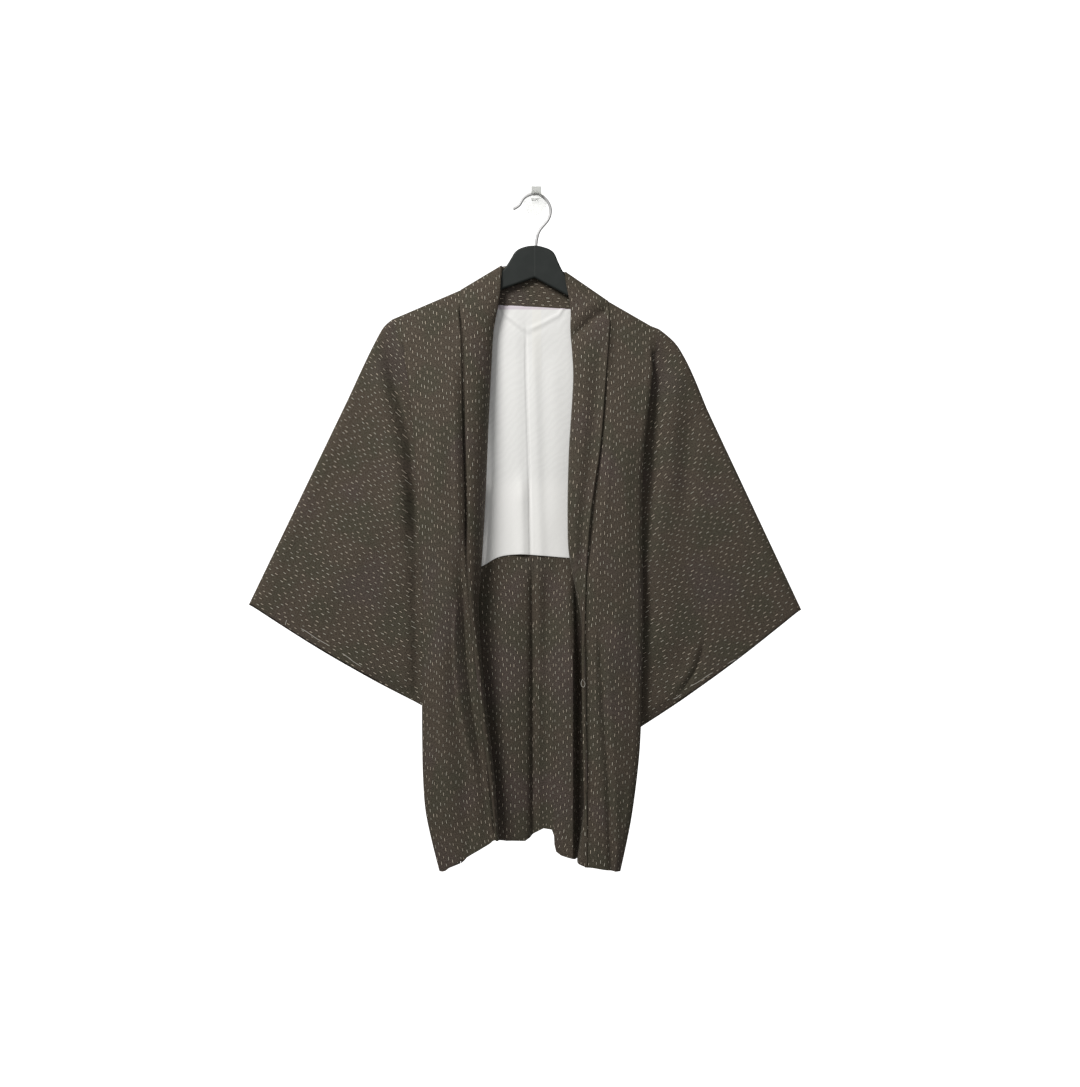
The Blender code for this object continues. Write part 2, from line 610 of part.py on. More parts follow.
def hanger(name):
    data = bpy.data.curves.new(name, "CURVE")
    data.dimensions = "2D"
    data.fill_mode = "BOTH"
    data.extrude = HANGER_THICK / 2 * MM
    line = data.splines.new("POLY")
    line.points.add(len(HANGER_OUTLINE) - 1)
    for point, (x, z) in zip(line.points, HANGER_OUTLINE):
        point.co = (x * MM, z * MM, 0, 1)
    line.use_cyclic_u = True
    obj = solid_from_curve(name, data)
    obj.rotation_euler = (math.pi / 2, 0, 0)
    obj.location = (0, HANGER_Y * MM, 0)
    edge = obj.modifiers.new("rounded edges", "BEVEL")
    edge.width = HANGER_BEVEL * MM
    edge.segments = 2
    edge.limit_method = "ANGLE"
    edge.angle_limit = math.radians(50)
    return obj


def wire_hook(name):
    data = bpy.data.curves.new(name, "CURVE")
    data.dimensions = "3D"
    data.bevel_depth = WIRE_RADIUS * MM
    data.bevel_resolution = 2
    data.use_fill_caps = True
    data.resolution_u = 4
    line = data.splines.new("NURBS")
    line.points.add(len(WIRE_PATH) - 1)
    for point, (x, z) in zip(line.points, WIRE_PATH):
        point.co = (x * MM, HANGER_Y * MM, z * MM, 1)
    line.order_u = 4
    line.use_endpoint_u = True
    return solid_from_curve(name, data)


def box(name, low, high):
    bpy.ops.mesh.primitive_cube_add(size=1)
    obj = bpy.context.object
    obj.name = name
    obj.scale = [(b - a) * MM for a, b in zip(low, high)]
    obj.location = [(a + b) / 2 * MM for a, b in zip(low, high)]
    bpy.ops.object.transform_apply(location=True, rotation=True, scale=True)
    return obj


def join(obj, other):
    """Adds another solid to obj with an exact union and removes the other."""
    union = obj.modifiers.new("union", "BOOLEAN")
    union.operation = "UNION"
    union.solver = "EXACT"
    union.object = other
    bpy.context.view_layer.update()
    mesh = bpy.data.meshes.new_from_object(obj.evaluated_get(bpy.context.evaluated_depsgraph_get()))
    obj.modifiers.clear()
    obj.data = mesh
    bpy.data.objects.remove(other)


def wall_hook(name):
    """Clear round plate that sticks to the wall, with a short arm and an upturned lip."""
    bpy.ops.mesh.primitive_cylinder_add(vertices=40, radius=PLATE_RADIUS * MM, depth=PLATE_THICK * MM,
                                        rotation=(math.pi / 2, 0, 0),
                                        location=(0, -PLATE_THICK / 2 * MM, 0))
    obj = bpy.context.object
    obj.name = name
    bpy.ops.object.transform_apply(location=True, rotation=True, scale=True)
    join(obj, box("arm", *ARM_BOX))
    join(obj, box("lip", *LIP_BOX))
    for collection in obj.users_collection:
        collection.objects.unlink(obj)
    PARTS.objects.link(obj)
    return obj


# ---------------------------------------------------------------- build
for old in list(bpy.data.objects):
    bpy.data.objects.remove(old)
PARTS = bpy.data.collections.new("haori_jacket_on_hanger")
bpy.context.scene.collection.children.link(PARTS)

BROWN = (0.075, 0.062, 0.052)
for piece in (*body("front_right", "back_right", RIGHT), *body("front_left", "back_left", LEFT),
              gusset("gusset_right", RIGHT), gusset("gusset_left", LEFT),
              sleeve("sleeve_right", RIGHT), sleeve("sleeve_left", LEFT), collar("collar")):
    paint(piece, BROWN, 0.85)
paint(lining("lining"), (0.78, 0.78, 0.77), 0.5)
paint(hanger("hanger"), (0.03, 0.035, 0.035), 0.5)
paint(wire_hook("hanger_hook"), (0.75, 0.75, 0.76), 0.15, metallic=1.0)
paint(wall_hook("wall_hook"), (0.95, 0.95, 0.95), 0.1, transmission=0.9)
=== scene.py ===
"""Haori jacket on a slim hanger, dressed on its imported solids.  Tables are in millimetres.

Right and left are the wearer's: right pieces lie at negative x, on the viewer's left.
"""
from math import cos, dist, pi, radians, sin

import bmesh
import bpy
import numpy as np
from mathutils import Matrix, Vector
from mathutils.bvhtree import BVHTree


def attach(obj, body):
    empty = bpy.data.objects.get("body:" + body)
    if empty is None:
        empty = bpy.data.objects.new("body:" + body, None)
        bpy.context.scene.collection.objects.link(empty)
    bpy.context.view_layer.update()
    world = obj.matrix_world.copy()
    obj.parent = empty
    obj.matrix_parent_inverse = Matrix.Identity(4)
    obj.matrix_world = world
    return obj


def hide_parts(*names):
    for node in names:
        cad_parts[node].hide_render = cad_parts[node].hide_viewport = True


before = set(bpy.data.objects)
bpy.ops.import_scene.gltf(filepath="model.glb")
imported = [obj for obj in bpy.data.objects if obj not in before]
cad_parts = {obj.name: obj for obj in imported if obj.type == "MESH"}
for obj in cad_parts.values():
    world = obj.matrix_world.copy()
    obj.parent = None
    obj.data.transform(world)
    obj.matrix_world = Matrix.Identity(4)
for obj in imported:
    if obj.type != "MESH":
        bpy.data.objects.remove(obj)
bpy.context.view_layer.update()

# -------- body halves
# Each half is one width of silk crepe, front and back in one piece over the shoulder, cut open at
# the side and pleated in at the armhole.  The front's inner edge goes into the collar seam, and the
# pleats fall behind the front and inside the back because the jacket hangs flat.
MM = 0.001
CLOTH = 1.2
COLLAR_CLOTH = 2.4
SEAM_GAP = 0.3
HANGER_Y = -15.5
OVER_ARM = 6.8
BEND_ANGLE = pi / 4  # round the hanger's arm, from its top to the next rows
TIP_DROP = 30
SEAM_MARGIN = 7.0
TIP_SPREAD = (3.0, 0.75)
TIP_PLACE = 0.3
SWELL_END = 110.0
SWELL_SKEW = 0.62
NEST = 2.5
BEND_FORWARD = 7.0
BEND_SLOPE = 0.1
VALLEY_SINK = 7.0
VALLEY_WIDTHS = (9, 18)
VALLEY_BEGINS = (15, 60)
RIDGE_FLAT = 4.0
PANEL_CROWN = 2.5
CROWN_BEGINS = 60

# Depth of each hanging layer at a drop below the shoulder fold.
DEPTHS = (
    # drop, front panel, front return, sleeve front, sleeve back, back return, back panel
    (OVER_ARM, -22.3, -22.3, -22.3, -8.7, -8.7, -8.7),
    (30, -29.0, -26.0, -22.8, -9.6, -7.3, -4.8),
    (60, -34.0, -29.5, -24.0, -12.2, -8.4, -4.6),
    (100, -39.0, -33.0, -25.5, -14.5, -10.0, -5.0),
    (200, -45.0, -37.0, -28.0, -17.0, -11.5, -5.0),
    (400, -47.0, -38.0, -28.0, -17.0, -12.0, -5.0),
    (800, -47.0, -38.0, -28.0, -17.0, -12.0, -5.0),
)
PANEL, FRONT_RETURN, SLEEVE_FRONT, SLEEVE_BACK, BACK_RETURN, BACK = range(6)

# Soft folds of the back below the lining: how far each upright line comes forward.
BACK_FOLDS = (
    # x, forward bulge
    (-170, 0.0), (-95, 0.0), (-66, 1.0), (-48, 6.0), (-32, 9.0), (-14, 6.0), (-3, 0.0),
    (12, 4.0), (28, 14.0), (40, 19.0), (53, 19.5), (58, 6.0), (66, 0.5), (95, 0.0), (160, 0.0),
)
BACK_FOLD_START = -518.0
BACK_FOLD_FULL = -700.0
BACK_PLANE = -5.0
NECK_FORWARD = 2.3  # the back comes forward by this under the collar, less over the next spans
NECK_FADE_DOWN = (150, 230)
NECK_FADE_ASIDE = (110, 150)
PLEAT_HEM_START = 500  # drops from which back pleat and back panel take the hem's shape
BACK_HEM_START = 640

# Height of the back's hem across its width.
BACK_HEM = (
    # x, z
    (-170, -927), (-120, -915), (-50, -903), (-14, -903), (-3, -895), (10, -887), (24, -888),
    (30, -918), (53, -927), (60, -928), (75, -926), (95, -920), (120, -918), (160, -927),
)

# Upright lines of each front.  The front panel runs from the collar seam to the ridge, turns back
# behind itself to the crease, and above the armhole's foot goes on from there to the sleeve seam.
RIGHT = {
    "side": -1.0,
    "back_lap_depth": 0.8,  # how far back its edge lies at the back's middle seam
    "seam_dip": 6.0,  # how far back the front goes beside the collar seam
    "band_squared": (430, 520),  # drops over which the collar band grows fuller
    "band_square": 0.42,  # how much fuller than a quarter ellipse it gets
    "groove": (7.0, 10, 60),  # extra gaps in the collar seam's groove, drops where they open
    "seam": (  # drop, x, y, z
        (0, -104, HANGER_Y, -126), (OVER_ARM, -104, -22.3, -133), (30, -106, -29, -157),
        (60, -103, -35, -187), (100, -101, -41, -227), (200, -99, -49, -327), (300, -96, -53, -424),
        (400, -96, -53, -523), (500, -88, -50, -621), (600, -78, -50, -720), (700, -65, -50, -818),
        (775, -57, -50, -897)),
    "bend": (  # drop, x, y
        (0, -114, -22), (200, -109, -50), (400, -105, -54), (500, -108, -54), (600, -97, -54),
        (700, -74, -53), (775, -62, -53)),
    "ridge": (  # drop, x, z
        (0, -195, -165), (30, -188, -199), (60, -182, -229), (100, -175, -269), (200, -167, -368),
        (300, -162, -466), (400, -156, -565), (500, -157, -663), (600, -157, -762),
        (700, -152, -859), (775, -133, -941)),
    "crease": (  # drop, x, z
        (0, -195, -165), (30, -183, -196), (60, -162, -226), (100, -141, -265), (200, -88, -363),
        (300, -92, -466), (400, -104, -565), (500, -113, -663), (600, -116, -762),
        (700, -113, -857), (775, -104, -931)),
    "inner": (  # drop, x, y, z: free edge of the collar band
        (0, -47, HANGER_Y, -92), (OVER_ARM, -48, -23.5, -104), (30, -51, -24, -138),
        (60, -59, -20, -181), (100, -62, -18, -225), (200, -67, -18, -325), (300, -71, -18, -423),
        (400, -77, -19, -524), (450, -80, -21, -572), (500, -78, -23, -623), (600, -68, -24, -723),
        (700, -57, -24, -822), (775, -52, -24, -899)),
    "neck": (  # drop, x, z: where the back's upper edge is sewn to the collar
        (0, -104, -126), (OVER_ARM, -97, -132), (13, -78, -141), (20, -51, -146.5), (30, -2, -149)),
    "back_columns": (-2, -14, -32, -48, -66, -85),
    "tip": (-215, -186),  # outside of the cloth at the hanger's tip
    "armhole_top": (-263, -279),
    "cuff_top": (-403, -570),
    "cuff_foot": (-131, -725),
}
LEFT = {
    "side": 1.0,
    "back_lap_depth": 1.6,
    "seam_dip": 1.5,
    "band_squared": (30, 100),
    "band_square": 0.62,
    "groove": (2.5, 180, 330),
    "seam": (
        (0, 103, HANGER_Y, -142), (OVER_ARM, 104, -22.3, -149), (30, 105, -29, -174),
        (60, 103, -35, -204), (100, 100, -41, -244), (200, 92, -49, -344), (300, 79, -53, -441),
        (400, 72, -53, -540), (500, 70, -50, -637), (600, 71, -50, -736), (700, 73, -50, -834),
        (775, 74, -50, -935)),
    "bend": (
        (0, 113, -22), (200, 103, -50), (400, 82, -54), (500, 80, -53), (775, 84, -53)),
    "ridge": (
        (0, 169, -179), (30, 167, -210), (60, 165, -240), (100, 161, -280), (200, 151, -380),
        (300, 150, -477), (400, 151, -576), (500, 149, -674), (600, 146, -771), (700, 134, -869),
        (775, 119, -941)),
    "crease": (
        (0, 169, -179), (30, 161, -212), (60, 143, -247), (100, 127, -291), (200, 86, -400),
        (300, 87, -493), (400, 91, -591), (500, 95, -686), (600, 98, -782), (700, 98, -870),
        (775, 91, -935)),
    "inner": (
        (0, 43, HANGER_Y, -101), (OVER_ARM, 44, -23.5, -113), (30, 51, -24, -151),
        (60, 51, -22, -182), (100, 55, -22, -243), (200, 49, -23, -351), (300, 47, -24, -440),
        (360, 49, -24, -501), (400, 57, -22, -541), (450, 66, -19, -590), (500, 69.5, -17, -640),
        (600, 71, -16, -740), (700, 71.5, -16, -839), (775, 60.5, -16, -930)),
    "neck": (
        (0, 103, -142), (OVER_ARM, 97, -147), (13, 78, -151), (20, 51, -152), (30, -1, -149)),
    "back_columns": (-1, 12, 24, 30, 53, 60),
    "tip": (201, -210),
    "armhole_top": (242, -293),
    "cuff_top": (375, -577),
    "cuff_foot": (114, -764),
}

# Heights at which the hanging panels are cut into rows, as drops below the shoulder fold.
ARMHOLE_FOOT = 200
UPPER_DROPS = (OVER_ARM, 13, 20, TIP_DROP, 60, 80, 100, 130, 165, ARMHOLE_FOOT)
LOWER_DROPS = (230, 270, 310, 350, 400, 450, 500, 550, 600, 650, 700, 740, 775)
PLEAT_OPENING_ROWS = 4
PANEL_STEPS = 6  # columns between the bend beside the collar and the ridge
PANEL_COLUMNS = PANEL_STEPS + 2
RETURN_STEPS = 3  # columns between ridge and crease
ARM_STEPS = 5  # columns between crease and sleeve seam
FOLD_COLUMNS = 5  # columns of the ridge and crease folds together


def cubic(a, slope_a, b, slope_b, t):
    """Value at t of the way from a to b, on a curve with these slopes at its ends."""
    return ((2 * t**3 - 3 * t**2 + 1) * a + (t**3 - 2 * t**2 + t) * slope_a
            + (3 * t**2 - 2 * t**3) * b + (t**3 - t**2) * slope_b)


def lookup(table, key):
    """Smooth values of a table's columns at a key, by cubic steps that keep the rows' slopes."""
    rows = np.array(table, float)
    last = len(rows) - 1
    key = np.clip(key, rows[0, 0], rows[last, 0])
    i = np.clip(np.searchsorted(rows[:, 0], key) - 1, 0, last - 1)
    before, a, b, after = (rows[np.clip(i + n, 0, last)] for n in (-1, 0, 1, 2))
    gap = (b - a)[..., :1]
    slope_a = (b - before) / (b - before)[..., :1] * gap
    slope_b = (after - a) / (after - a)[..., :1] * gap
    t = (key[..., None] - a[..., :1]) / gap
    return cubic(a, slope_a, b, slope_b, t)[..., 1:]


def mix(a, b, t):
    return np.add(a, np.subtract(b, a) * t)


def ramp(x, low, high):
    """0 up to low and 1 from high on, with a soft step between, for a number or an array."""
    t = np.clip((x - low) / (high - low), 0.0, 1.0)
    return t * t * (3 - 2 * t)


def along_sleeve(half):
    """Unit direction of the sleeve's top fold in x and z, from the shoulder to the cuff."""
    run = np.subtract(half["armhole_top"], half["ridge"][0][1:])
    return run / np.linalg.norm(run)


def arm_seam(half, drop):
    """Point of the sleeve seam's line in the sleeve's plane, x and z."""
    foot = lookup(half["crease"], ARMHOLE_FOOT) + along_sleeve(half) * SEAM_MARGIN
    return mix(half["armhole_top"], foot, drop / ARMHOLE_FOOT)


def arm_columns(half, drop, depth, start):
    """Cloth from a start point to the sleeve seam, swollen over the hanger's tip near the top."""
    lift = half["tip"] - mix(half["ridge"][0][1:], half["armhole_top"], TIP_PLACE)
    lift *= 1 - ramp(drop, 0, SWELL_END)
    columns = []
    for t in np.arange(1, ARM_STEPS + 1) / ARM_STEPS:
        x, z = mix(start, arm_seam(half, drop), t) + lift * sin(pi * t ** SWELL_SKEW)
        columns.append((x, depth, z))
    return columns


def tip_cluster(half, middle):
    """Close columns at the hanger's tip, where the pleat has not opened yet."""
    count = FOLD_COLUMNS + RETURN_STEPS
    run = along_sleeve(half) * TIP_SPREAD
    return [middle + run * (n - (count - 1) / 2) for n in range(count)]


def pleat(half, drop, panel, turned, sleeve):
    """Ridge, return, crease and sleeve-side cloth of a front or back at one drop."""
    side = half["side"]
    x, z = ridge = lookup(half["ridge"], drop)
    crease = lookup(half["crease"], drop)
    if drop <= TIP_DROP:
        cluster = tip_cluster(half, ridge)
        points = [(x, mix(panel, sleeve, n / (len(cluster) - 1)), z)
                  for n, (x, z) in enumerate(cluster)]
        return points + arm_columns(half, drop, sleeve, cluster[-1])
    if panel > turned:  # the back's pleat stays just inside the front's
        x -= side * NEST
    inner = x - side * abs(panel - turned) / 2
    points = [(inner, panel, z), (x, (panel + turned) / 2, z), (inner, turned, z)]
    bend = abs(turned - sleeve) / 2 * (1 - ramp(drop, ARMHOLE_FOOT, LOWER_DROPS[0]))
    end = (crease[0] + side * bend, turned, crease[1])
    points += [mix(points[2], end, n / RETURN_STEPS) for n in range(1, RETURN_STEPS + 1)]
    if drop <= ARMHOLE_FOOT:
        x, z = start = crease + along_sleeve(half) * bend
        points += [(crease[0], (turned + sleeve) / 2, crease[1]), (x, sleeve, z)]
        points += arm_columns(half, drop, sleeve, start)
    return points


def shoulder_row(half, angle):
    """A row of the bend over the hanger's arm, at an angle from its top, less than 0 in front."""
    y = HANGER_Y + OVER_ARM * sin(angle)
    down = OVER_ARM * (1 - cos(angle))
    neck = half["neck"][0][1:]
    cluster = tip_cluster(half, half["ridge"][0][1:])
    flat = [mix(neck, cluster[0], n / PANEL_COLUMNS) for n in range(PANEL_COLUMNS)] + cluster
    points = [(x, y, z - down) for x, z in flat]
    run = abs(along_sleeve(half))
    for n, (x, _, z) in enumerate(arm_columns(half, 0, y, cluster[-1])):
        share = (n + 1) / ARM_STEPS
        points.append((x - half["side"] * run[1] * down * share, y,
                       z - down * (1 - share * (1 - run[0]))))
    return points


def front_row(half, drop):
    depth = lookup(DEPTHS, drop)
    seam = lookup(half["seam"], drop)
    ridge = lookup(half["ridge"], drop)
    x, y = lookup(half["bend"], drop)
    bend = (x, max(y, depth[PANEL] - BEND_FORWARD), mix(seam[2], ridge[1], BEND_SLOPE))
    valley = mix(seam, bend, 0.5)
    valley[1] += ramp(drop, *VALLEY_BEGINS) + VALLEY_SINK * ramp(abs(x) - abs(seam[0]), *VALLEY_WIDTHS)
    edge = (ridge[0] - half["side"] * RIDGE_FLAT, depth[PANEL], ridge[1])
    crown = PANEL_CROWN * ramp(drop, CROWN_BEGINS, ARMHOLE_FOOT)
    points = [seam, valley, bend]
    for t in np.arange(1, PANEL_STEPS) / PANEL_STEPS:
        points.append(mix(bend, edge, t) - (0, crown * sin(pi * t), 0))
    return points + pleat(half, drop, depth[PANEL], depth[FRONT_RETURN], depth[SLEEVE_FRONT])


def back_depth(x, z):
    """Depth of the back panel below the neck."""
    near_neck = NECK_FORWARD * (1 - ramp(-z, *NECK_FADE_DOWN)) * (1 - ramp(abs(x), *NECK_FADE_ASIDE))
    bulge = lookup(BACK_FOLDS, x)[..., 0] * ramp(-z, -BACK_FOLD_START, -BACK_FOLD_FULL)
    return BACK_PLANE - near_neck - bulge


def hem_lift(half, drop):
    """How far the back's side pleat ends above the front's, growing towards the hem."""
    x = lookup(half["ridge"], drop)[0]
    full = lookup(BACK_HEM, x)[0] - half["ridge"][-1][2]
    return full * ramp(drop, PLEAT_HEM_START, LOWER_DROPS[-1])


def back_row(half, drop):
    depth = lookup(DEPTHS, drop)
    inner = lookup(half["neck"], drop)
    below, x, z = half["neck"][-1]
    if drop > below:
        inner[1] = mix(z, lookup(BACK_HEM, x)[0], (drop - below) / (LOWER_DROPS[-1] - below))
    turn = pleat(half, drop, depth[BACK], depth[BACK_RETURN], depth[SLEEVE_BACK])
    turn = np.array(turn) + (0, 0, hem_lift(half, drop))
    edge = turn[0, ::2]
    fixed = half["back_columns"]
    points = []
    for n in range(PANEL_COLUMNS):
        x, z = mix(inner, edge, n / PANEL_COLUMNS)
        if drop >= below:
            beyond = (n + 1 - len(fixed)) / (PANEL_COLUMNS + 1 - len(fixed))
            x = fixed[n] if n < len(fixed) else mix(fixed[-1], edge[0], beyond)
            z = mix(inner[1], edge[1], (x - inner[0]) / (edge[0] - inner[0]))
        z = mix(z, lookup(BACK_HEM, x)[0], ramp(drop, BACK_HEM_START, LOWER_DROPS[-1]))
        points.append((x, depth[BACK] if drop <= OVER_ARM else back_depth(x, z), z))
    return points + list(turn)


def hanging_rows(half, make_row):
    """Rows from the shoulder to the hem, with extra ones where the pleat opens out."""
    rows = []
    for drop in UPPER_DROPS + LOWER_DROPS:
        row = make_row(half, drop)
        if drop == UPPER_DROPS[UPPER_DROPS.index(TIP_DROP) + 1]:
            above = rows[-1]
            rows += [list(mix(above, row, n / PLEAT_OPENING_ROWS)) for n in range(1, PLEAT_OPENING_ROWS)]
        rows.append(row)
    return rows


def through(points, knots, at):
    """Smooth curve through rows of points that lie at knots, read at finer places."""
    gaps = np.diff(knots)[:, None, None]
    slopes = np.diff(points, axis=0) / gaps
    tangents = np.concatenate((slopes[:1], (slopes[:-1] * gaps[1:] + slopes[1:] * gaps[:-1])
                               / (gaps[1:] + gaps[:-1]), slopes[-1:]))
    i = np.clip(np.searchsorted(knots, at, side="right") - 1, 0, len(gaps) - 1)
    t = (at - knots[i])[:, None, None] / gaps[i]
    return cubic(points[i], gaps[i] * tangents[i], points[i + 1], gaps[i] * tangents[i + 1], t)


def places(grid, step):
    """Knots of a grid's rows by their mean distance, and finer places between them."""
    lengths = np.linalg.norm(np.diff(grid, axis=0), axis=2).mean(axis=1)
    knots = np.concatenate(([0.0], np.cumsum(lengths)))
    finer = [np.linspace(a, b, max(1, round((b - a) / step)), endpoint=False)
             for a, b in zip(knots, knots[1:])]
    return knots, np.concatenate(finer + [knots[-1:]])


def refine(rows, steps):
    """A finer grid of rows of points, with its knots and places down and then across."""
    grid = np.array(rows, float)
    found = []
    for step in steps:
        knots, at = places(grid, step)
        grid = through(grid, knots, at).transpose(1, 0, 2)
        found += [knots, at]
    return grid, *found


def distance(grid, axis):
    """How far each point of a grid lies from the start of its column (0) or row (1)."""
    steps = np.diff(grid, axis=axis, prepend=np.take(grid, [0], axis))
    return np.cumsum(np.linalg.norm(steps, axis=2), axis=axis)


CREASE_END = 0.2  # share of a crease's length over which each end dies out


def crease(x, z, line, width, height):
    """Height of a soft ridge or trough along a line of (x, z) points that dies out at its ends."""
    best = np.full(x.shape, np.inf)
    along = np.zeros(x.shape)
    gone = 0.0
    for a, b in zip(line, line[1:]):
        length, right, up = dist(a, b), b[0] - a[0], b[1] - a[1]
        t = np.clip(((x - a[0]) * right + (z - a[1]) * up) / length**2, 0.0, 1.0)
        away = np.hypot(x - a[0] - t * right, z - a[1] - t * up)
        along = np.where(away < best, gone + t * length, along)
        best = np.minimum(away, best)
        gone += length
    along /= gone
    ends = ramp(along, 0.0, CREASE_END) * (1 - ramp(along, 1 - CREASE_END, 1.0))
    return height * np.exp(-(best / width) ** 2) * ends


def press(grid, creases, share=1.0):
    """Move a grid towards the viewer by a table's creases, each with a share of its height."""
    for line, width, height in creases:
        grid[..., 1] -= crease(grid[..., 0], grid[..., 2], line, width, height) * share


def add(name, data):
    obj = bpy.data.objects.new(name, data)
    bpy.context.scene.collection.objects.link(obj)
    return obj


def put(thing, **settings):
    for key, value in settings.items():
        setattr(thing, key, value)
    return thing


def round_edges(obj, width, segments, angle):
    """Round the edges that turn by more than an angle in degrees."""
    put(obj.modifiers.new("soft edge", "BEVEL"), width=width * MM, segments=segments,
        limit_method="ANGLE", angle_limit=radians(angle))


def dress(obj, finish, slot, *solids):
    """Give a piece its finish and body, and hide the solids that it is seen in place of; slot is not used.
    """
    obj.data.materials.clear()
    obj.data.materials.append(finish)
    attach(obj, "root")
    if solids:
        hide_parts(*solids)
    return obj


def on_faces(pair, faces):
    return np.stack(np.broadcast_arrays(*pair), axis=-1).reshape(-1, 2)[faces]


def cloth(name, grid, uv, thickness, keep=slice(None), beyond=None, uv_beyond=None):
    """A piece of cloth from a fine grid of points, with its threads' places across and along as map.

    keep marks the faces that it has, and beyond marks those that take uv_beyond as their map.
    """
    rows, columns = grid.shape[:2]
    index = np.arange(rows * columns).reshape(rows, columns)
    faces = np.stack((index[:-1, :-1], index[:-1, 1:], index[1:, 1:], index[1:, :-1]), axis=-1)
    face_uv = on_faces(uv, faces)
    if beyond is not None:
        face_uv[beyond] = on_faces(uv_beyond, faces[beyond])
    mesh = bpy.data.meshes.new(name)
    mesh.from_pydata((grid.reshape(-1, 3) * MM).tolist(), [], faces[keep].reshape(-1, 4).tolist())
    threads = mesh.uv_layers.new(name="threads")
    threads.uv.foreach_set("vector", (face_uv[keep].reshape(-1) * MM).astype(np.float32))
    mesh.shade_smooth()
    shape = bmesh.new()
    shape.from_mesh(mesh)
    bmesh.ops.remove_doubles(shape, verts=shape.verts, dist=0.00002)
    bmesh.ops.delete(shape, geom=[v for v in shape.verts if not v.link_faces], context="VERTS")
    bmesh.ops.recalc_face_normals(shape, faces=shape.faces)
    shape.to_mesh(mesh)
    shape.free()
    obj = add(name, mesh)
    put(obj.modifiers.new("thickness", "SOLIDIFY"), thickness=thickness * MM, offset=0.0)
    round_edges(obj, width=thickness * 0.35, segments=2, angle=62)
    return obj


class Yarn:
    """A socket of a finish that is being made.  Sums on it add Math nodes."""

    def __init__(self, tree, socket=None):
        self.tree = tree
        self.socket = socket

    def make(self, kind, sockets, out=0, **settings):
        node = put(self.tree.nodes.new(kind), **settings)
        for key, value in sockets.items():
            if isinstance(value, Yarn):
                self.tree.links.new(value.socket, node.inputs[key])
            else:
                node.inputs[key].default_value = value
        return Yarn(self.tree, node.outputs[out])

    def math(self, operation, *values):
        return self.make("ShaderNodeMath", dict(enumerate(values)), operation=operation)

    def __add__(self, other):
        return self.math("ADD", self, other)

    def __sub__(self, other):
        return self.math("SUBTRACT", self, other)

    def __mul__(self, other):
        return self.math("MULTIPLY", self, other)

    def floor(self):
        return self.math("FLOOR", self)

    def size(self):
        return self.math("ABSOLUTE", self)

    def rise(self, low, high):
        """0 below low and 1 above high, or the other way round where low is the greater."""
        return self.make("ShaderNodeMapRange", {0: self, 1: low, 2: high},
                         interpolation_type="SMOOTHSTEP")

    def noise(self, scale, detail):
        return self.make("ShaderNodeTexNoise", {"Vector": self, "Scale": scale, "Detail": detail})

    def parts(self):
        outputs = self.make("ShaderNodeSeparateXYZ", {0: self}).socket.node.outputs
        return [Yarn(self.tree, outputs[n]) for n in range(3)]

    def over(self, under, colour):
        """colour laid over another one where this socket is 1."""
        return self.make("ShaderNodeMix", {0: self, 6: under, 7: colour}, out=2, data_type="RGBA")

    def into(self, shader, name):
        self.tree.links.new(self.socket, shader.inputs[name])

    def relief(self, shader, strength, distance):
        """This socket as the height of a finish's fine relief."""
        self.make("ShaderNodeBump", {"Strength": strength, "Distance": distance, "Height": self}
                  ).into(shader, "Normal")


def blank_finish(name, values, threads=False):
    """A finish with plain values, its shader, and its place on the threads or in space."""
    finish = bpy.data.materials.new(name)
    finish.use_nodes = True
    shader = finish.node_tree.nodes["Principled BSDF"]
    for key, value in values.items():
        shader.inputs[key].default_value = value
    yarn = Yarn(finish.node_tree)
    if threads:
        return finish, shader, yarn.make("ShaderNodeUVMap", {}, uv_map="threads")
    return finish, shader, yarn.make("ShaderNodeTexCoord", {}, out=3)


# The crepe: a dark taupe ground with faint cooler and warmer patches, darker fine grain, and short pale
# floats of the warp in staggered columns, with a painted shadow darkening the ground beside each float.
COLUMN = 5.8  # distance between columns of floats, across the cloth
REPEAT = 13.0  # distance between floats in a column
COLUMN_SHIFT = 4.5  # how much further along some columns start
STRAY = (2.8, 5.0)  # span over which floats stray across and along
FLOAT = (0.21, 1.4)  # half width and least half length of a float
GROUND = (0.098, 0.079, 0.060, 1.0)
COOL = (0.080, 0.075, 0.053, 1.0)
WARM = (0.102, 0.077, 0.074, 1.0)
# dark of the crepe's fine grain, and of the painted shadow beside each float
GRAIN_AND_SHADOW_DARK = (0.036, 0.028, 0.020, 1.0)


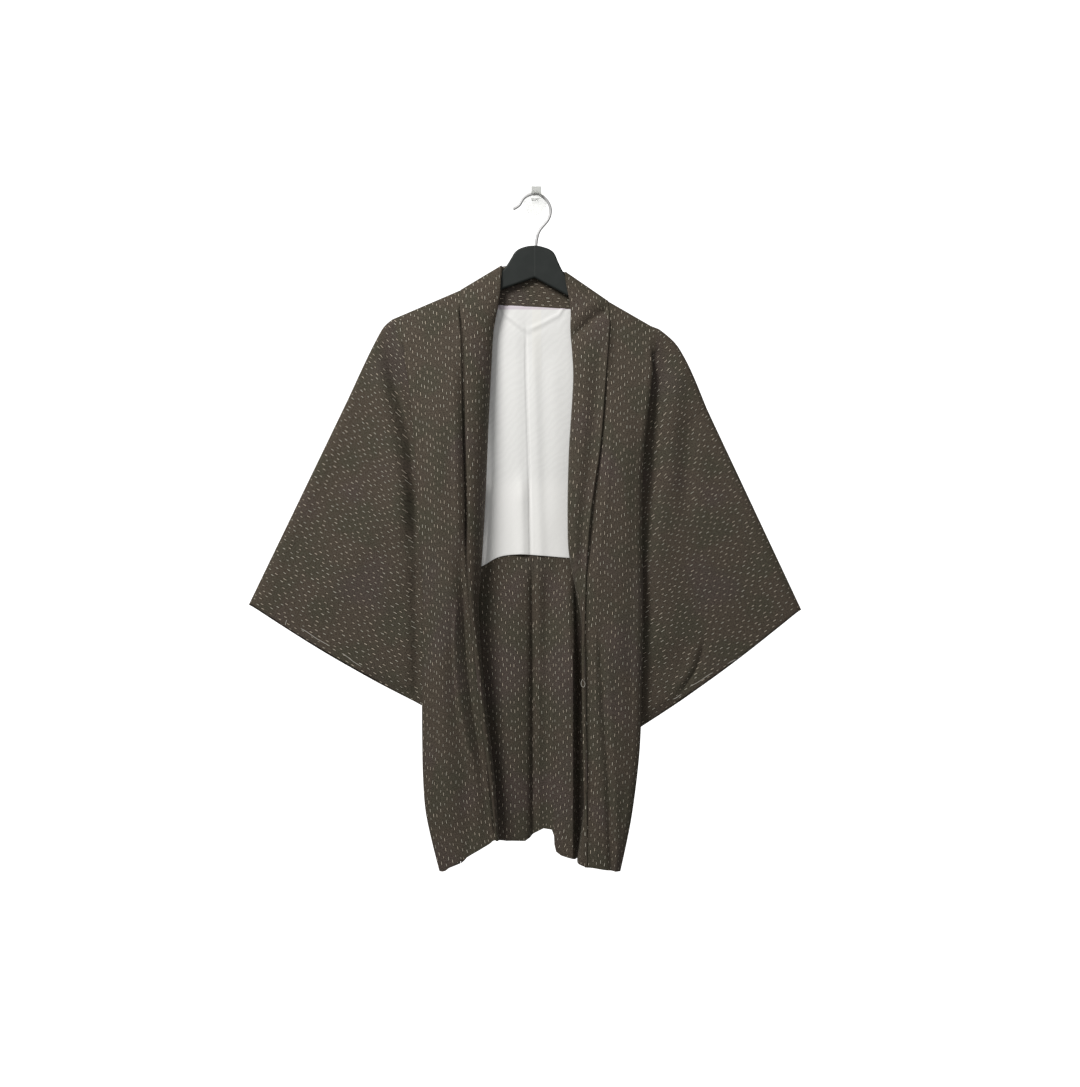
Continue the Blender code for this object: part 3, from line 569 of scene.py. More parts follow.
def crepe_finish(name):
    finish, shader, threads = blank_finish(name, {
        "Roughness": 0.82, "Sheen Weight": 0.05, "Sheen Roughness": 0.5,
        "Sheen Tint": (1.0, 0.9, 0.78, 1.0), "Specular IOR Level": 0.2}, threads=True)
    across, along, _ = threads.parts()
    across, along = across * 1000.0, along * 1000.0
    column = (across * (1 / COLUMN)).floor()
    shift = threads.make("ShaderNodeTexWhiteNoise", {"W": column}, noise_dimensions="1D")
    stagger = threads.math("FRACT", column * 0.5) * REPEAT
    along_column = along + stagger + shift * COLUMN_SHIFT
    row = (along_column * (1 / REPEAT)).floor()
    cell = threads.make("ShaderNodeCombineXYZ", {0: column, 1: row})
    chance = threads.make("ShaderNodeTexWhiteNoise", {0: cell}, out=1, noise_dimensions="3D")
    aside, lift, length = chance.parts()
    away = (across - column * COLUMN - COLUMN / 2 + (aside - 0.5) * STRAY[0]).size()
    far = (along_column - row * REPEAT - REPEAT / 2 + (lift - 0.5) * STRAY[1]).size()
    past = far - (length * 0.9 + FLOAT[1])
    thread = away.rise(FLOAT[0] + 0.1, FLOAT[0] - 0.1) * past.rise(0.2, -0.2)
    # painted shadow: a ring beside each float where the ground is darkened
    beside = away.rise(1.9, 0.9) * past.rise(1.4, 0.2)
    ground = (threads.noise(15.0, 2.0).rise(0.42, 0.62) * 0.9).over(GROUND, COOL)
    ground = (threads.noise(10.0, 1.0).rise(0.5, 0.68) * 0.6).over(ground, WARM)
    grain = threads.noise(620.0, 2.0)
    ground = (grain.rise(0.4, 0.64) * 0.8).over(ground, GRAIN_AND_SHADOW_DARK)
    # lay the painted shadow beside the floats over the ground
    ground = (beside * 0.5).over(ground, GRAIN_AND_SHADOW_DARK)
    pale = aside.rise(0.2, 0.9).over((1.0, 0.87, 0.70, 1.0), (0.92, 0.89, 0.76, 1.0))
    (thread * (length * 0.3 + 0.7)).over(ground, pale).into(shader, "Base Color")
    (grain * 0.5 + thread * 0.6).relief(shader, 0.35, 0.0004)
    return finish


crepe = crepe_finish("brown_crepe")
GRAIN_SLANT = (14, -1)  # degrees between warp and armhole seam, at the shoulder and on the sleeve
SLANT_FADES = (-100, 200)  # distances from the armhole seam


def grain_on_sleeve(half, points):
    """Places in the cloth of points beside the shoulder or on the sleeve.

    The warp lies along the armhole seam, a little steeper where the cloth leaves the shoulder, and
    runs on over the folds from the front layer to the back one.
    """
    top = arm_seam(half, 0)
    down = arm_seam(half, ARMHOLE_FOOT) - top
    flat = points[..., ::2] - top
    out = flat @ along_sleeve(half)
    below = flat @ down / np.linalg.norm(down)
    start = out
    for _ in range(3):
        slant = np.radians(mix(*GRAIN_SLANT, ramp(start, *SLANT_FADES)))
        start = out - below * np.tan(slant)
    return start, below / np.cos(slant) + HANGER_Y - points[..., 1]


# Creases: the line's points in x and z, its width, and its height towards the viewer.
FRONT_CREASES = {
    "body_right": (
        (((-118, -560), (-108, -680), (-94, -800), (-86, -960)), 13, -5.0),
        (((-134, -600), (-128, -740), (-118, -900)), 11, 3.0),
        (((-142, -250), (-136, -330), (-134, -420)), 16, 1.5),
        (((-120, -300), (-118, -420), (-124, -560)), 14, -1.2),
    ),
    "body_left": (
        (((88, -580), (95, -700), (102, -800), (109, -1000)), 4.5, -5.5),
        (((97, -600), (104, -720), (111, -840), (117, -1000)), 8, 3.0),
        (((112, -560), (119, -700), (126, -860)), 12, 2.0),
        (((132, -300), (128, -420), (126, -560)), 14, 1.2),
    ),
}
BELOW_LINING = (494, 550)
BACK_CREASES = (
    (((-16, -400), (-16, -560), (-15, -700), (-14, -860), (-13, -1100)), 7.5, 7.5),
    (((-40, -460), (-41, -640), (-42, -780), (-42, -1100)), 9, 2.5),
    (((5, -400), (5, -620), (6, -760), (8, -1100)), 5, 6.5),
    (((21, -450), (21, -620), (22, -760), (24, -1100)), 7, -5.0),
    (((-4.5, -400), (-4.5, -600), (-4, -1100)), 2.2, -3.5),
    (((44, -490), (46, -540), (47, -580), (48, -640), (49, -710)), 8, 9.0),
    (((52, -450), (52, -640), (53, -800), (54, -1100)), 5, 2.5),
)
SEAM_VALLEYS = {  # beside the collar; the last number is how far out the full depth starts
    "body_right": (
        (((-104, -200), (-102, -260), (-99, -327), (-96, -424), (-95, -520)), 6.5, -4.5, 0),
        (((-103, -450), (-103, -560), (-95, -660), (-83, -750), (-70, -850), (-60, -960)), 9, -8.5, 4),
    ),
    "body_left": (
        (((103, -220), (92, -340), (79, -440), (73, -540)), 5, -3.0, 0),
        (((76, -540), (75, -660), (78, -780), (80, -900)), 6, -3.0, 4),
    ),
}
ARM_CREASES = {  # these run on over the armhole seam into the sleeve
    "right": (
        (((-216, -190), (-203, -232), (-188, -285), (-175, -340), (-169, -420), (-166, -520)), 10, -9.5),
        (((-230, -215), (-217, -262), (-205, -320), (-194, -400), (-186, -500)), 13, 5.5),
        (((-192, -190), (-186, -235), (-172, -300)), 7, 2.5),
    ),
    "left": (
        (((178, -205), (176, -240), (168, -300), (164, -400), (160, -520)), 9, -5.0),
        (((205, -215), (200, -255), (192, -330), (190, -430)), 14, 4.0),
        (((222, -290), (215, -360), (212, -460)), 12, -2.5),
    ),
}


CREPE_HERE = 1.0  # thickness of the crepe as it is seen
BODY_MESH = (3.6, 5.0)  # distance between the mesh's lines, across and down
SEAM_LINES = (0.9, 1.8, 2.7)  # extra lines of the mesh beside the collar seam
PANEL_LINES = 20  # the mesh's first lines, along which its rows are spaced
SEAM_DIP_WIDTH = 2.2
SEAM_DIP_BEGINS = (142, 165)  # below the origin
SEAM_DIP_ENDS = (880, 900)
UNDER_COLLAR = 4.5  # how far the front goes on under the collar, and how much deeper it lies there
UNDER_COLLAR_DEPTH = 2.0
BACK_LAP = 1.2  # how far each half goes past the back's middle seam
LAP_BEGINS = (170, 165)  # above the back's armhole foot
GRAIN_LEAN = 0.6  # how much of the side's slope towards the hem the warp follows
GRAIN_FROM = 500  # drop below which it does
TIP_GRAIN = 45  # distance from the shoulder fold over which the tip has the sleeve's grain
FRONT_ENDS = 30  # the front's creases end this far before the shoulder fold
TUCK_ENDS = (20, 10)  # and its edge under the collar this far
VALLEY_FADE = 4
ARM_FADE = 8
AT_MIDDLE = 3
NEAR = 0.01  # two places within this are the same


def body(name, half):
    rows = hanging_rows(half, front_row)[::-1]
    tip_row = len(rows) - 1 - UPPER_DROPS.index(TIP_DROP)
    rows += [shoulder_row(half, angle) for angle in (-BEND_ANGLE, 0, BEND_ANGLE)]
    rows += hanging_rows(half, back_row)
    reach = [len(row) for row in rows]
    full, common = max(reach), min(reach)
    first_full, last_full = reach.index(full), len(reach) - 1 - reach[::-1].index(full)
    grid = np.array([row + [row[-1]] * (full - len(row)) for row in rows], float).transpose(1, 0, 2)
    knots, across = places(grid[:, first_full:tip_row], BODY_MESH[0])
    across = np.sort(np.concatenate((across, SEAM_LINES)))
    grid = through(grid, knots, across).transpose(1, 0, 2)
    down_knots, down = places(grid[:, :PANEL_LINES], BODY_MESH[1])
    grid = through(grid, down_knots, down)
    edge, ridge, before_ridge = knots[[common - 1, PANEL_COLUMNS, PANEL_COLUMNS - 1]]
    first, last = down_knots[[first_full, last_full]]
    shoulder = (first + last) / 2
    upper = (down[:-1] > first - NEAR) & (down[1:] < last + NEAR)
    keep = upper[:, None] | (across[:-1] <= edge - NEAR)

    front = (down < shoulder - FRONT_ENDS)[:, None]
    to_ridge = 1 - ramp(across, before_ridge, ridge)
    press(grid, FRONT_CREASES[name], ramp(across, knots[2], knots[3]) * to_ridge * front)
    for *valley, clear in SEAM_VALLEYS[name]:
        press(grid, [valley], ramp(across, clear - VALLEY_FADE, clear) * front)
    below = -grid[..., 2]
    dip = half["seam_dip"] * ramp(below, *SEAM_DIP_BEGINS) * (1 - ramp(below, *SEAM_DIP_ENDS))
    grid[..., 1] += np.exp(-(across / SEAM_DIP_WIDTH) ** 2) * dip * front
    press(grid, ARM_CREASES[name[5:]], ramp(across, edge, edge + ARM_FADE) * front)
    press(grid, BACK_CREASES, to_ridge * ramp(below, *BELOW_LINING))

    at_front = 1 - ramp(down, *(shoulder - before for before in TUCK_ENDS))
    at_middle = ramp(down, *(last - above for above in LAP_BEGINS)) * (abs(grid[:, 0, 0]) < AT_MIDDLE)
    tuck = grid[:, :1].copy()
    tuck[:, 0, 0] -= half["side"] * (UNDER_COLLAR * at_front + BACK_LAP * at_middle)
    tuck[:, 0, 1] += UNDER_COLLAR_DEPTH * at_front + half["back_lap_depth"] * at_middle
    grid = np.concatenate((tuck, grid), axis=1)
    keep = np.concatenate((keep[:, :1], keep), axis=1)

    warp = abs(grid[:, :1, 0]) + distance(grid, 1)
    ridge_x = abs(grid[:, 1 + np.searchsorted(across, ridge - NEAR), 0])
    lean = np.maximum(abs(lookup(half["ridge"], GRAIN_FROM)[0]) - ridge_x, 0) * (down < first)
    warp += (GRAIN_LEAN * lean)[:, None]
    uv = warp, down[:, None]
    across = np.concatenate((across[:1] - UNDER_COLLAR, across))[:-1]
    tip = (abs(down[:-1] - shoulder) < TIP_GRAIN)[:, None] & (across > ridge - NEAR)
    beyond = (across > edge - NEAR) | tip
    obj = cloth(name + "_cloth", grid, uv, CREPE_HERE, keep, beyond, grain_on_sleeve(half, grid))
    return dress(obj, crepe, "brown_crepe", name.replace("body", "front"), name.replace("body", "back"))


body_right = body("body_right", RIGHT)
body_left = body("body_left", LEFT)

# -------- gussets
# A strip of the same crepe on each side that widens to the hem.  It is sewn between front and back
# and hangs folded inside the side pleat.
GUSSET_BELLY = (3.0, 6.0)  # how far it bows inwards at its top, and how much more at the hem
GUSSET_COLUMNS = 6
GUSSET_MESH = (8.0, 2.5)  # distance between the mesh's lines, down and across


def gusset(name, half):
    turn = np.arange(GUSSET_COLUMNS + 1) / GUSSET_COLUMNS
    rows = []
    for drop in LOWER_DROPS:
        depth = lookup(DEPTHS, drop)
        x, z = lookup(half["crease"], drop)
        x -= half["side"] * (SEAM_GAP + CLOTH / 2)
        belly = GUSSET_BELLY[0] + GUSSET_BELLY[1] * ramp(drop, LOWER_DROPS[0], LOWER_DROPS[-1])
        front, back = depth[[FRONT_RETURN, BACK_RETURN]]
        y = (front + back) / 2 + (front - back) / 2 * np.cos(pi * turn)
        rows.append(np.stack((x - half["side"] * belly * np.sin(pi * turn), y,
                              z + hem_lift(half, drop) * turn), axis=-1))
    grid, _, down, _, across = refine(rows, GUSSET_MESH)
    obj = cloth(name + "_cloth", grid, (across, down[:, None]), CREPE_HERE)
    return dress(obj, crepe, "brown_crepe", name)


gusset_right = gusset("gusset_right", RIGHT)
gusset_left = gusset("gusset_left", LEFT)

# -------- sleeves
# Each sleeve is one length of crepe folded at the top and sewn shut along its foot and the lower
# part of the cuff.  The seam edge is sewn into the armhole and the front layer's cuff falls a
# little short of the back layer's.
CUFF_OPEN = 0.55  # share of the cuff that is open
CUFF_STEP = 3.0  # how far the front layer's cuff falls short
STEP_FADES = (0.6, 1.0)
CUFF_BOW = 6.0
CUFF_CLOSING = (1.0, -3.0, -5.0)
CUFF_APART = 0.7  # of each layer from the middle, where the cuff is closed
SLEEVE_FOOT = 3.0
TOP_FORWARD = 4.0
FOLD_FADE = 25  # distance from the top fold and the foot over which creases die out
SLEEVE_STEPS = (0.0, 0.12, 0.27, 0.42, 0.57, 0.72, 0.86, 1.0)
SLEEVE_DEPTHS = (0.01, 0.035, 0.09, 0.18, 0.3, 0.42, CUFF_OPEN, 0.7, 0.85, 1.0)
SLEEVE_MESH = (3.6, 4.5)  # distance between the mesh's lines, round and out
CUFF_PINCH = (14, 2)  # distances from the cuff over which its closed part comes together
CUFF_MIDDLE = HANGER_Y - 7.0
SLEEVE_CREASES = {  # the back layer takes half of their height
    "sleeve_right": (
        (((-150, -360), (-210, -440), (-280, -540), (-330, -600)), 22, 1.6),
        (((-130, -420), (-160, -520), (-200, -620)), 20, -1.8),
        (((-250, -330), (-300, -430), (-345, -520)), 18, -1.0),
        (((-168, -475), (-167, -540), (-166, -600), (-165, -680), (-164, -800)), 9, -6.0),
    ),
    "sleeve_left": (
        (((150, -380), (200, -460), (260, -550), (300, -620)), 20, 1.6),
        (((118, -430), (142, -540), (170, -640)), 18, -2.2),
        (((158, -400), (168, -480), (180, -580), (190, -660)), 32, 5.5),
        (((240, -612), (236, -632), (226, -661), (206, -690), (196, -704)), 3.0, -4.0),
        (((228, -618), (224, -640), (214, -666), (196, -692)), 7.0, 2.2),
        (((235, -350), (280, -440), (320, -530)), 18, -1.0),
    ),
}


def sleeve_layer(half, across, down):
    """Point of the sleeve's flat outline in x and z: across to the cuff, down from the top fold."""
    top = mix(arm_seam(half, 0), half["cuff_top"], across)
    foot = mix(arm_seam(half, ARMHOLE_FOOT), half["cuff_foot"], across)
    bow = CUFF_BOW * sin(pi * down) * ramp(across, 0, 1)
    return mix(top, foot, down) + along_sleeve(half) * bow


def sleeve_depth(down, layer, across):
    """Depth of a sleeve layer: as the body's at the seam, closing up towards the cuff's top."""
    if down == SLEEVE_DEPTHS[0]:
        depth = HANGER_Y + (-1 if layer == SLEEVE_FRONT else 1) * OVER_ARM * sin(BEND_ANGLE)
    else:
        depth = lookup(DEPTHS, max(down * ARMHOLE_FOOT, OVER_ARM))[layer]
    foot, front_top, back_top = CUFF_CLOSING
    closing = foot + front_top * (1 - down) if layer == SLEEVE_FRONT else back_top * (1 - down)
    return depth + closing * ramp(across, 0, 1)


def sleeve(name, half):
    length = dist(arm_seam(half, 0), half["cuff_top"])
    rows = []
    for across in SLEEVE_STEPS:
        x, z = sleeve_layer(half, across, 0)
        row = [(x, HANGER_Y - TOP_FORWARD * ramp(across, 0, 1), z)]
        for down in SLEEVE_DEPTHS:
            short = 1 - CUFF_STEP / length * (1 - ramp(down, *STEP_FADES))
            x, z = sleeve_layer(half, min(across, short), down)
            row.append((x, sleeve_depth(down, SLEEVE_FRONT, across), z))
        x, z = sleeve_layer(half, across, 1)
        middle = (sleeve_depth(1, SLEEVE_FRONT, across) + sleeve_depth(1, SLEEVE_BACK, across)) / 2
        row.append((x - half["side"] * SLEEVE_FOOT, middle, z))
        for down in reversed(SLEEVE_DEPTHS):
            x, z = sleeve_layer(half, across, down)
            row.append((x, sleeve_depth(down, SLEEVE_BACK, across), z))
        rows.append(row + row[:1])
    columns = np.array(rows, float).transpose(1, 0, 2)
    grid, knots, around, _, out = refine(columns, SLEEVE_MESH)
    grid = grid.transpose(1, 0, 2)
    foot = knots[len(SLEEVE_DEPTHS) + 1]
    end = around[-1]
    front = around < foot
    from_fold = np.minimum(np.minimum(around, end - around), abs(around - foot))
    layer = np.where(front, 1.0, 0.5) * ramp(from_fold, 0, FOLD_FADE)
    press(grid, SLEEVE_CREASES[name] + ARM_CREASES[name[7:]], layer)
    opening = knots[SLEEVE_DEPTHS.index(CUFF_OPEN) + 1]
    closed = knots[SLEEVE_DEPTHS.index(CUFF_OPEN) + 2]
    shut = ramp(around, opening, closed) * (1 - ramp(around, end - closed, end - opening))
    pinch = ramp(out, *(out[-1] - short for short in CUFF_PINCH))[:, None] * shut
    middle = CUFF_MIDDLE - np.where(front, CUFF_APART, -CUFF_APART)
    grid[..., 1] += (middle - grid[..., 1]) * pinch
    obj = cloth(name + "_cloth", grid, grain_on_sleeve(half, grid), CREPE_HERE)
    return dress(obj, crepe, "brown_crepe", name)


sleeve_right = sleeve("sleeve_right", RIGHT)
sleeve_left = sleeve("sleeve_left", LEFT)

# -------- lining
# White figured silk inside the back, sewn in below the neck and ending in a turned edge above the
# crepe's own deep hem.  It has a join strip and a pressed fold down its middle.
LINING_CLEAR = 0.5
LINING_CLOTH = 1.0
SILK_HERE = 0.6  # thickness of the lining as it is seen
LINING_MESH = (149, 156)  # faces down and across
LINING_RISE = 0.2  # how far its creases may go back
LINING_TOP = (
    # x, z
    (-92, -143), (-78, -144), (-51, -146), (0, -148.4), (51, -151.4), (80, -151),
)
LINING_HEM = (
    # x, z
    (-92, -519), (-76, -516), (-52, -503), (-25, -499), (0, -500), (50, -504), (80, -505),
)
LINING_CREASES = (
    (((-28, -130), (-25, -240), (-22, -380), (-20, -470)), 12.0, 1.4),
    (((-20, -370), (-18, -480), (-17, -640)), 9.0, 3.8),
    (((-2, -150), (-1, -240), (3, -380), (7, -480), (9, -620)), 8.0, 1.8),
    (((-13, -160), (-12, -245), (-8, -380), (-6, -498), (-6, -620)), 1.8, -2.6),
    (((-56, -130), (-44, -157), (-14, -181), (-4, -187)), 2.2, 1.0),
    (((-56, -138), (-44, -165), (-14, -189), (-4, -195)), 2.5, -0.5),
    (((48, -138), (34, -160), (2, -176), (-16, -182)), 2.2, 0.9),
    (((48, -146), (34, -168), (2, -184), (-16, -190)), 2.5, -0.4),
    (((26, -200), (30, -330), (26, -490)), 12.0, 1.0),
)


def lining_finish(name):
    finish, shader, threads = blank_finish(name, {"Sheen Weight": 0.1}, threads=True)
    across, along, _ = threads.parts()
    wave = threads.make("ShaderNodeTexWave", {"Vector": threads, "Scale": 52.0, "Distortion": 9.0,
                                              "Detail": 2.0, "Detail Scale": 0.6},
                        bands_direction="DIAGONAL")
    figure = wave.rise(0.3, 0.8)
    strip = across.rise(0.0878, 0.0883) * across.rise(0.1012, 0.1007) * along.rise(0.16, 0.02)
    tone = (figure * 0.25).over((0.90, 0.905, 0.90, 1.0), (0.81, 0.815, 0.81, 1.0))
    tone = (strip * 0.6).over(tone, (0.92, 0.915, 0.88, 1.0))
    # painted light: the lower part of the lining is made lighter
    tone = (along.rise(0.235, 0.27) * 0.75).over(tone, (0.97, 0.97, 0.96, 1.0))
    tone = (along.rise(0.0105, 0.0085) * 0.6).over(tone, (0.62, 0.50, 0.62, 1.0))
    tone.into(shader, "Base Color")
    (figure * 0.12 + 0.42).into(shader, "Roughness")
    (figure * 0.5 + strip * 0.8).relief(shader, 0.2, 0.0003)
    return finish


def lining(name):
    down, across = (np.arange(faces + 1) / faces for faces in LINING_MESH)
    x = mix(LINING_TOP[0][0], LINING_TOP[-1][0], across)
    z = mix(lookup(LINING_TOP, x)[:, 0], lookup(LINING_HEM, x)[:, 0], down[:, None])
    x = np.broadcast_to(x, z.shape)
    y = back_depth(x, z) - CLOTH / 2 - LINING_CLEAR - LINING_CLOTH / 2
    grid = np.stack((x, y, z), axis=-1)
    press(grid, LINING_CREASES)
    grid[..., 1] = np.minimum(grid[..., 1], y + LINING_RISE)
    obj = cloth(name + "_silk", grid, (x - x[0, 0], z[0, 0] - z), SILK_HERE)
    return dress(obj, lining_finish("white_lining"), "white_lining", name)


lining_silk = lining("lining")

# -------- collar
# One long band of the crepe, folded double, from hem to hem round the back of the neck.  Its seam
# edge takes in the fronts and the back's neck; its free edge is the fold.
COLLAR_GAP = 0.3
COLLAR_OVER = OVER_ARM + (COLLAR_CLOTH - CLOTH) / 2
BACK_COLLAR = (
    # x and z of the seam, x and z of the free edge, going round the back of the neck
    (-97, -132, -45.5, -92), (-78, -141, -41, -91.5), (-51, -146.5, -33, -91), (-26, -148, -18, -92),
    (0, -149, -1, -93), (26, -150.6, 16, -94.5), (51, -152, 30, -96.5), (78, -151, 37, -98.5),
    (97, -147, 41.5, -100),
)
COLLAR_STEPS = 9
SEAM_CLEAR = -0.6  # keeps the first column of floats clear of the seam
COLLAR_MESH = (4.0, 2.2)  # distance between the mesh's lines, along and across
COLLAR_CREASES = (
    (((112, -148), (84, -166), (56, -191), (36, -207)), 5.0, -6.0),
    (((108, -131), (78, -149), (50, -173), (32, -190)), 6.0, 2.5),
    (((100, -190), (96, -260), (86, -360), (76, -440), (69, -560)), 15.0, -9.0),
    (((-78, -200), (-84, -330), (-88, -460)), 10.0, 0.8),
    (((74, -260), (70, -400), (68, -520)), 10.0, 0.8),
)


def band_row(outer, inner, square=1.0):
    """Points round the band from its seam to its free edge, as a quarter of an ellipse or fuller."""
    angle = np.arange(COLLAR_STEPS + 1)[:, None] / COLLAR_STEPS * pi / 2
    turned, left = np.sin(angle) ** square, np.cos(angle) ** square
    return mix(outer, inner, np.hstack((turned, 1 - left, turned)))


def collar_side(half):
    """Rows of the band from the hem up to the top of the shoulder bend."""
    gaps, shut, opened = half["groove"]
    rows = []
    for drop in reversed(UPPER_DROPS + LOWER_DROPS):
        outer = lookup(half["seam"], drop)
        outer[0] -= half["side"] * COLLAR_GAP * (1 + gaps * ramp(drop, shut, opened))
        outer[1] -= (COLLAR_CLOTH - CLOTH) / 2
        square = 1 - half["band_square"] * ramp(drop, *half["band_squared"])
        rows.append(band_row(outer, lookup(half["inner"], drop), square))
    outer, inner = half["seam"][0], half["inner"][0]
    for angle in (-BEND_ANGLE, 0, BEND_ANGLE):
        y = HANGER_Y + COLLAR_OVER * sin(angle)
        down = COLLAR_OVER * (1 - cos(angle))
        rows.append(band_row((outer[1] - half["side"] * COLLAR_GAP, y, outer[3] - down),
                             (inner[1], y, inner[3] - (down if angle < 0 else 0))))
    return rows


def collar(name):
    behind = HANGER_Y + COLLAR_OVER
    back = [band_row((x0, behind, z0 + COLLAR_GAP), (x1, behind, z1))
            for x0, z0, x1, z1 in BACK_COLLAR]
    rows = collar_side(RIGHT) + back + collar_side(LEFT)[::-1]
    grid, _, _, _, across = refine(rows, COLLAR_MESH)
    press(grid, COLLAR_CREASES, ramp(across, 0, 4) * (grid[..., 1] < HANGER_Y))
    run = distance(grid, 0)
    uv = distance(grid, 1) + SEAM_CLEAR, run - run[len(run) // 2]
    return dress(cloth(name + "_band", grid, uv, COLLAR_CLOTH), crepe, "brown_crepe", name)


collar_band = collar("collar")

# -------- basting and a loose end
# Long white cotton stitches still hold the turned cuffs, and one pale end of sewing silk has come
# loose from the left collar's edge.
BASTING_RADIUS = 0.35
STITCH_POINTS = 7
STITCH_SINKS = 0.8  # at its ends and STITCH_STANDS between, as shares of the radius
STITCH_STANDS = 0.6
STITCH_WAVE = (0.5, 1.3)  # height, and radians from point to point
BEFORE_JACKET = -0.2
BASTING = {
    # each stitch from its start to its end, x and z
    "right": ((-349, -591, -352, -600), (-329, -603, -292, -626), (-271, -638, -244, -657)),
    "left": ((307, -630, 271, -653), (250, -665, 218, -685), (206, -696, 194, -703)),
}
LOOSE_END = (
    # x, depth, z
    (68.5, -44, -671), (65.0, -50, -674), (64, -52, -680), (66.5, -53, -684), (69.5, -53, -682),
    (70, -53, -677), (67.5, -54, -674),
)


def cotton_finish(name):
    finish, shader, place = blank_finish(name, {"Roughness": 0.8})
    twist = place.make("ShaderNodeTexWave", {"Vector": place, "Scale": 700.0, "Distortion": 2.0})
    (twist.rise(0.2, 0.8) * 0.5).over((0.55, 0.53, 0.48, 1.0), (0.42, 0.40, 0.36, 1.0)
                                      ).into(shader, "Base Color")
    return finish


cotton = cotton_finish("basting_cotton")


def mesh_of(data):
    """Mesh of a curve's shape."""
    source = add(data.name, data)
    bpy.context.view_layer.update()
    mesh = bpy.data.meshes.new_from_object(source.evaluated_get(bpy.context.evaluated_depsgraph_get()))
    bpy.data.objects.remove(source)
    return mesh


def cord(name, paths, radius, fineness, order, capped=False):
    """Mesh of round cords along smooth paths of points."""
    data = put(bpy.data.curves.new(name + "_line", "CURVE"), dimensions="3D", use_fill_caps=capped,
               bevel_depth=radius * MM, bevel_resolution=fineness)
    for path in paths:
        line = data.splines.new("NURBS")
        line.points.add(len(path) - 1)
        for point, place in zip(line.points, path):
            point.co = (*(c * MM for c in place), 1)
        put(line, order_u=order, use_endpoint_u=True)
    return mesh_of(data)


def thread(name, paths):
    return dress(add(name, cord(name, paths, BASTING_RADIUS, fineness=2, order=3)), cotton, "white_lining")


def basting(name, cloth_piece, stitches):
    """Long stitches that dip into a piece at their ends and lie on it between."""
    bpy.context.view_layer.update()
    skin = BVHTree.FromObject(cloth_piece, bpy.context.evaluated_depsgraph_get())
    paths = []
    for x0, z0, x1, z1 in stitches:
        path = []
        for n in range(STITCH_POINTS):
            x, z = mix((x0, z0), (x1, z1), n / (STITCH_POINTS - 1))
            hit = skin.ray_cast(Vector((x * MM, BEFORE_JACKET, z * MM)), Vector((0, 1, 0)))[0]
            inside = STITCH_SINKS if n in (0, STITCH_POINTS - 1) else -STITCH_STANDS
            path.append((x, hit.y / MM + inside * BASTING_RADIUS,
                         z + STITCH_WAVE[0] * sin(n * STITCH_WAVE[1])))
        paths.append(path)
    return thread(name, paths)


basting("basting_right", sleeve_right, BASTING["right"])
basting("basting_left", sleeve_left, BASTING["left"])
thread("loose_end", [LOOSE_END])

# -------- hanger
# A slim flat hanger, moulded in black plastic with a fine matt skin, with rounded edges and a
# shallow parting line up its middle.  The jacket hangs from its two arms.
HANGER_THICK = 11.0
HANGER_OUTLINE = (
    (1, -63.5), (12, -65.5), (22, -69.5), (27, -74), (33, -87), (39.5, -100), (46, -109.5), (75, -131),
    (103, -148.5), (121, -158.5), (145, -170), (169, -183.5), (181, -193.5), (188, -201), (187, -208),
    (179, -210), (120, -175), (49, -135.5), (-1, -108.5), (-49, -125.5), (-120, -157), (-194, -190),
    (-203, -188), (-206, -180), (-202, -173), (-195, -169), (-161, -156), (-139, -146),
    (-104, -132), (-75, -114.5), (-48, -100.5), (-41, -93), (-34, -82), (-27, -71.5), (-17, -66),
)


def plastic_finish(name):
    finish, shader, place = blank_finish(name, {"Specular IOR Level": 0.25})
    skin = place.noise(1400.0, 2.0)
    wear = place.noise(45.0, 3.0)
    x, _, z = place.parts()
    line = x.size().rise(0.0011, 0.0005) * z.rise(-0.112, -0.104)
    ground = wear.rise(0.4, 0.7).over((0.018, 0.022, 0.021, 1.0), (0.023, 0.027, 0.026, 1.0))
    (line * 0.4).over(ground, (0.04, 0.045, 0.044, 1.0)).into(shader, "Base Color")
    (wear * 0.15 + 0.5).into(shader, "Roughness")
    (skin + line).relief(shader, 0.25, 0.0003)
    return finish


def upright(name, mesh):
    """Piece from a mesh drawn in x and z, turned upright at the hanger's depth."""
    mesh.transform(Matrix.Translation((0, HANGER_Y * MM, 0)) @ Matrix.Rotation(pi / 2, 4, "X"))
    mesh.shade_smooth()
    return add(name, mesh)


HANGER_EDGE = 2.2
STRAIGHT_BELOW = -108  # the underside and the arms' tops run straight between their points
STRAIGHT_WITHIN = 150
hanger_line = put(bpy.data.curves.new("hanger_line", "CURVE"), dimensions="2D", fill_mode="BOTH",
                  extrude=(HANGER_THICK / 2 - HANGER_EDGE) * MM, bevel_depth=HANGER_EDGE * MM,
                  bevel_resolution=3, offset=-HANGER_EDGE * MM, resolution_u=5)
outline = hanger_line.splines.new("BEZIER")
outline.bezier_points.add(len(HANGER_OUTLINE) - 1)
for point, (x, z) in zip(outline.bezier_points, HANGER_OUTLINE):
    bend = "VECTOR" if z < STRAIGHT_BELOW and abs(x) < STRAIGHT_WITHIN else "AUTO"
    put(point, co=(x * MM, z * MM, 0), handle_left_type=bend, handle_right_type=bend)
outline.use_cyclic_u = True
dress(upright("hanger_moulding", mesh_of(hanger_line)), plastic_finish("black_plastic"),
      "black_plastic", "hanger")

# -------- hanger's hook
# A bright plated wire, 4 mm thick, bent to a hook with a small flared tip and set upright in the
# hanger's neck.
WIRE_RADIUS = 2.0
WIRE_PATH = (
    (-30.7, -11.4), (-21.6, -7.7), (-19.3, 0), (-13.9, 6.1), (-5.7, 9.7), (3.5, 9.8), (11.1, 6.6),
    (18.7, -0.9), (23.0, -11.4), (21, -23.6), (14.9, -32), (6.5, -40.3), (2.8, -49.4), (1.4, -63.2),
)


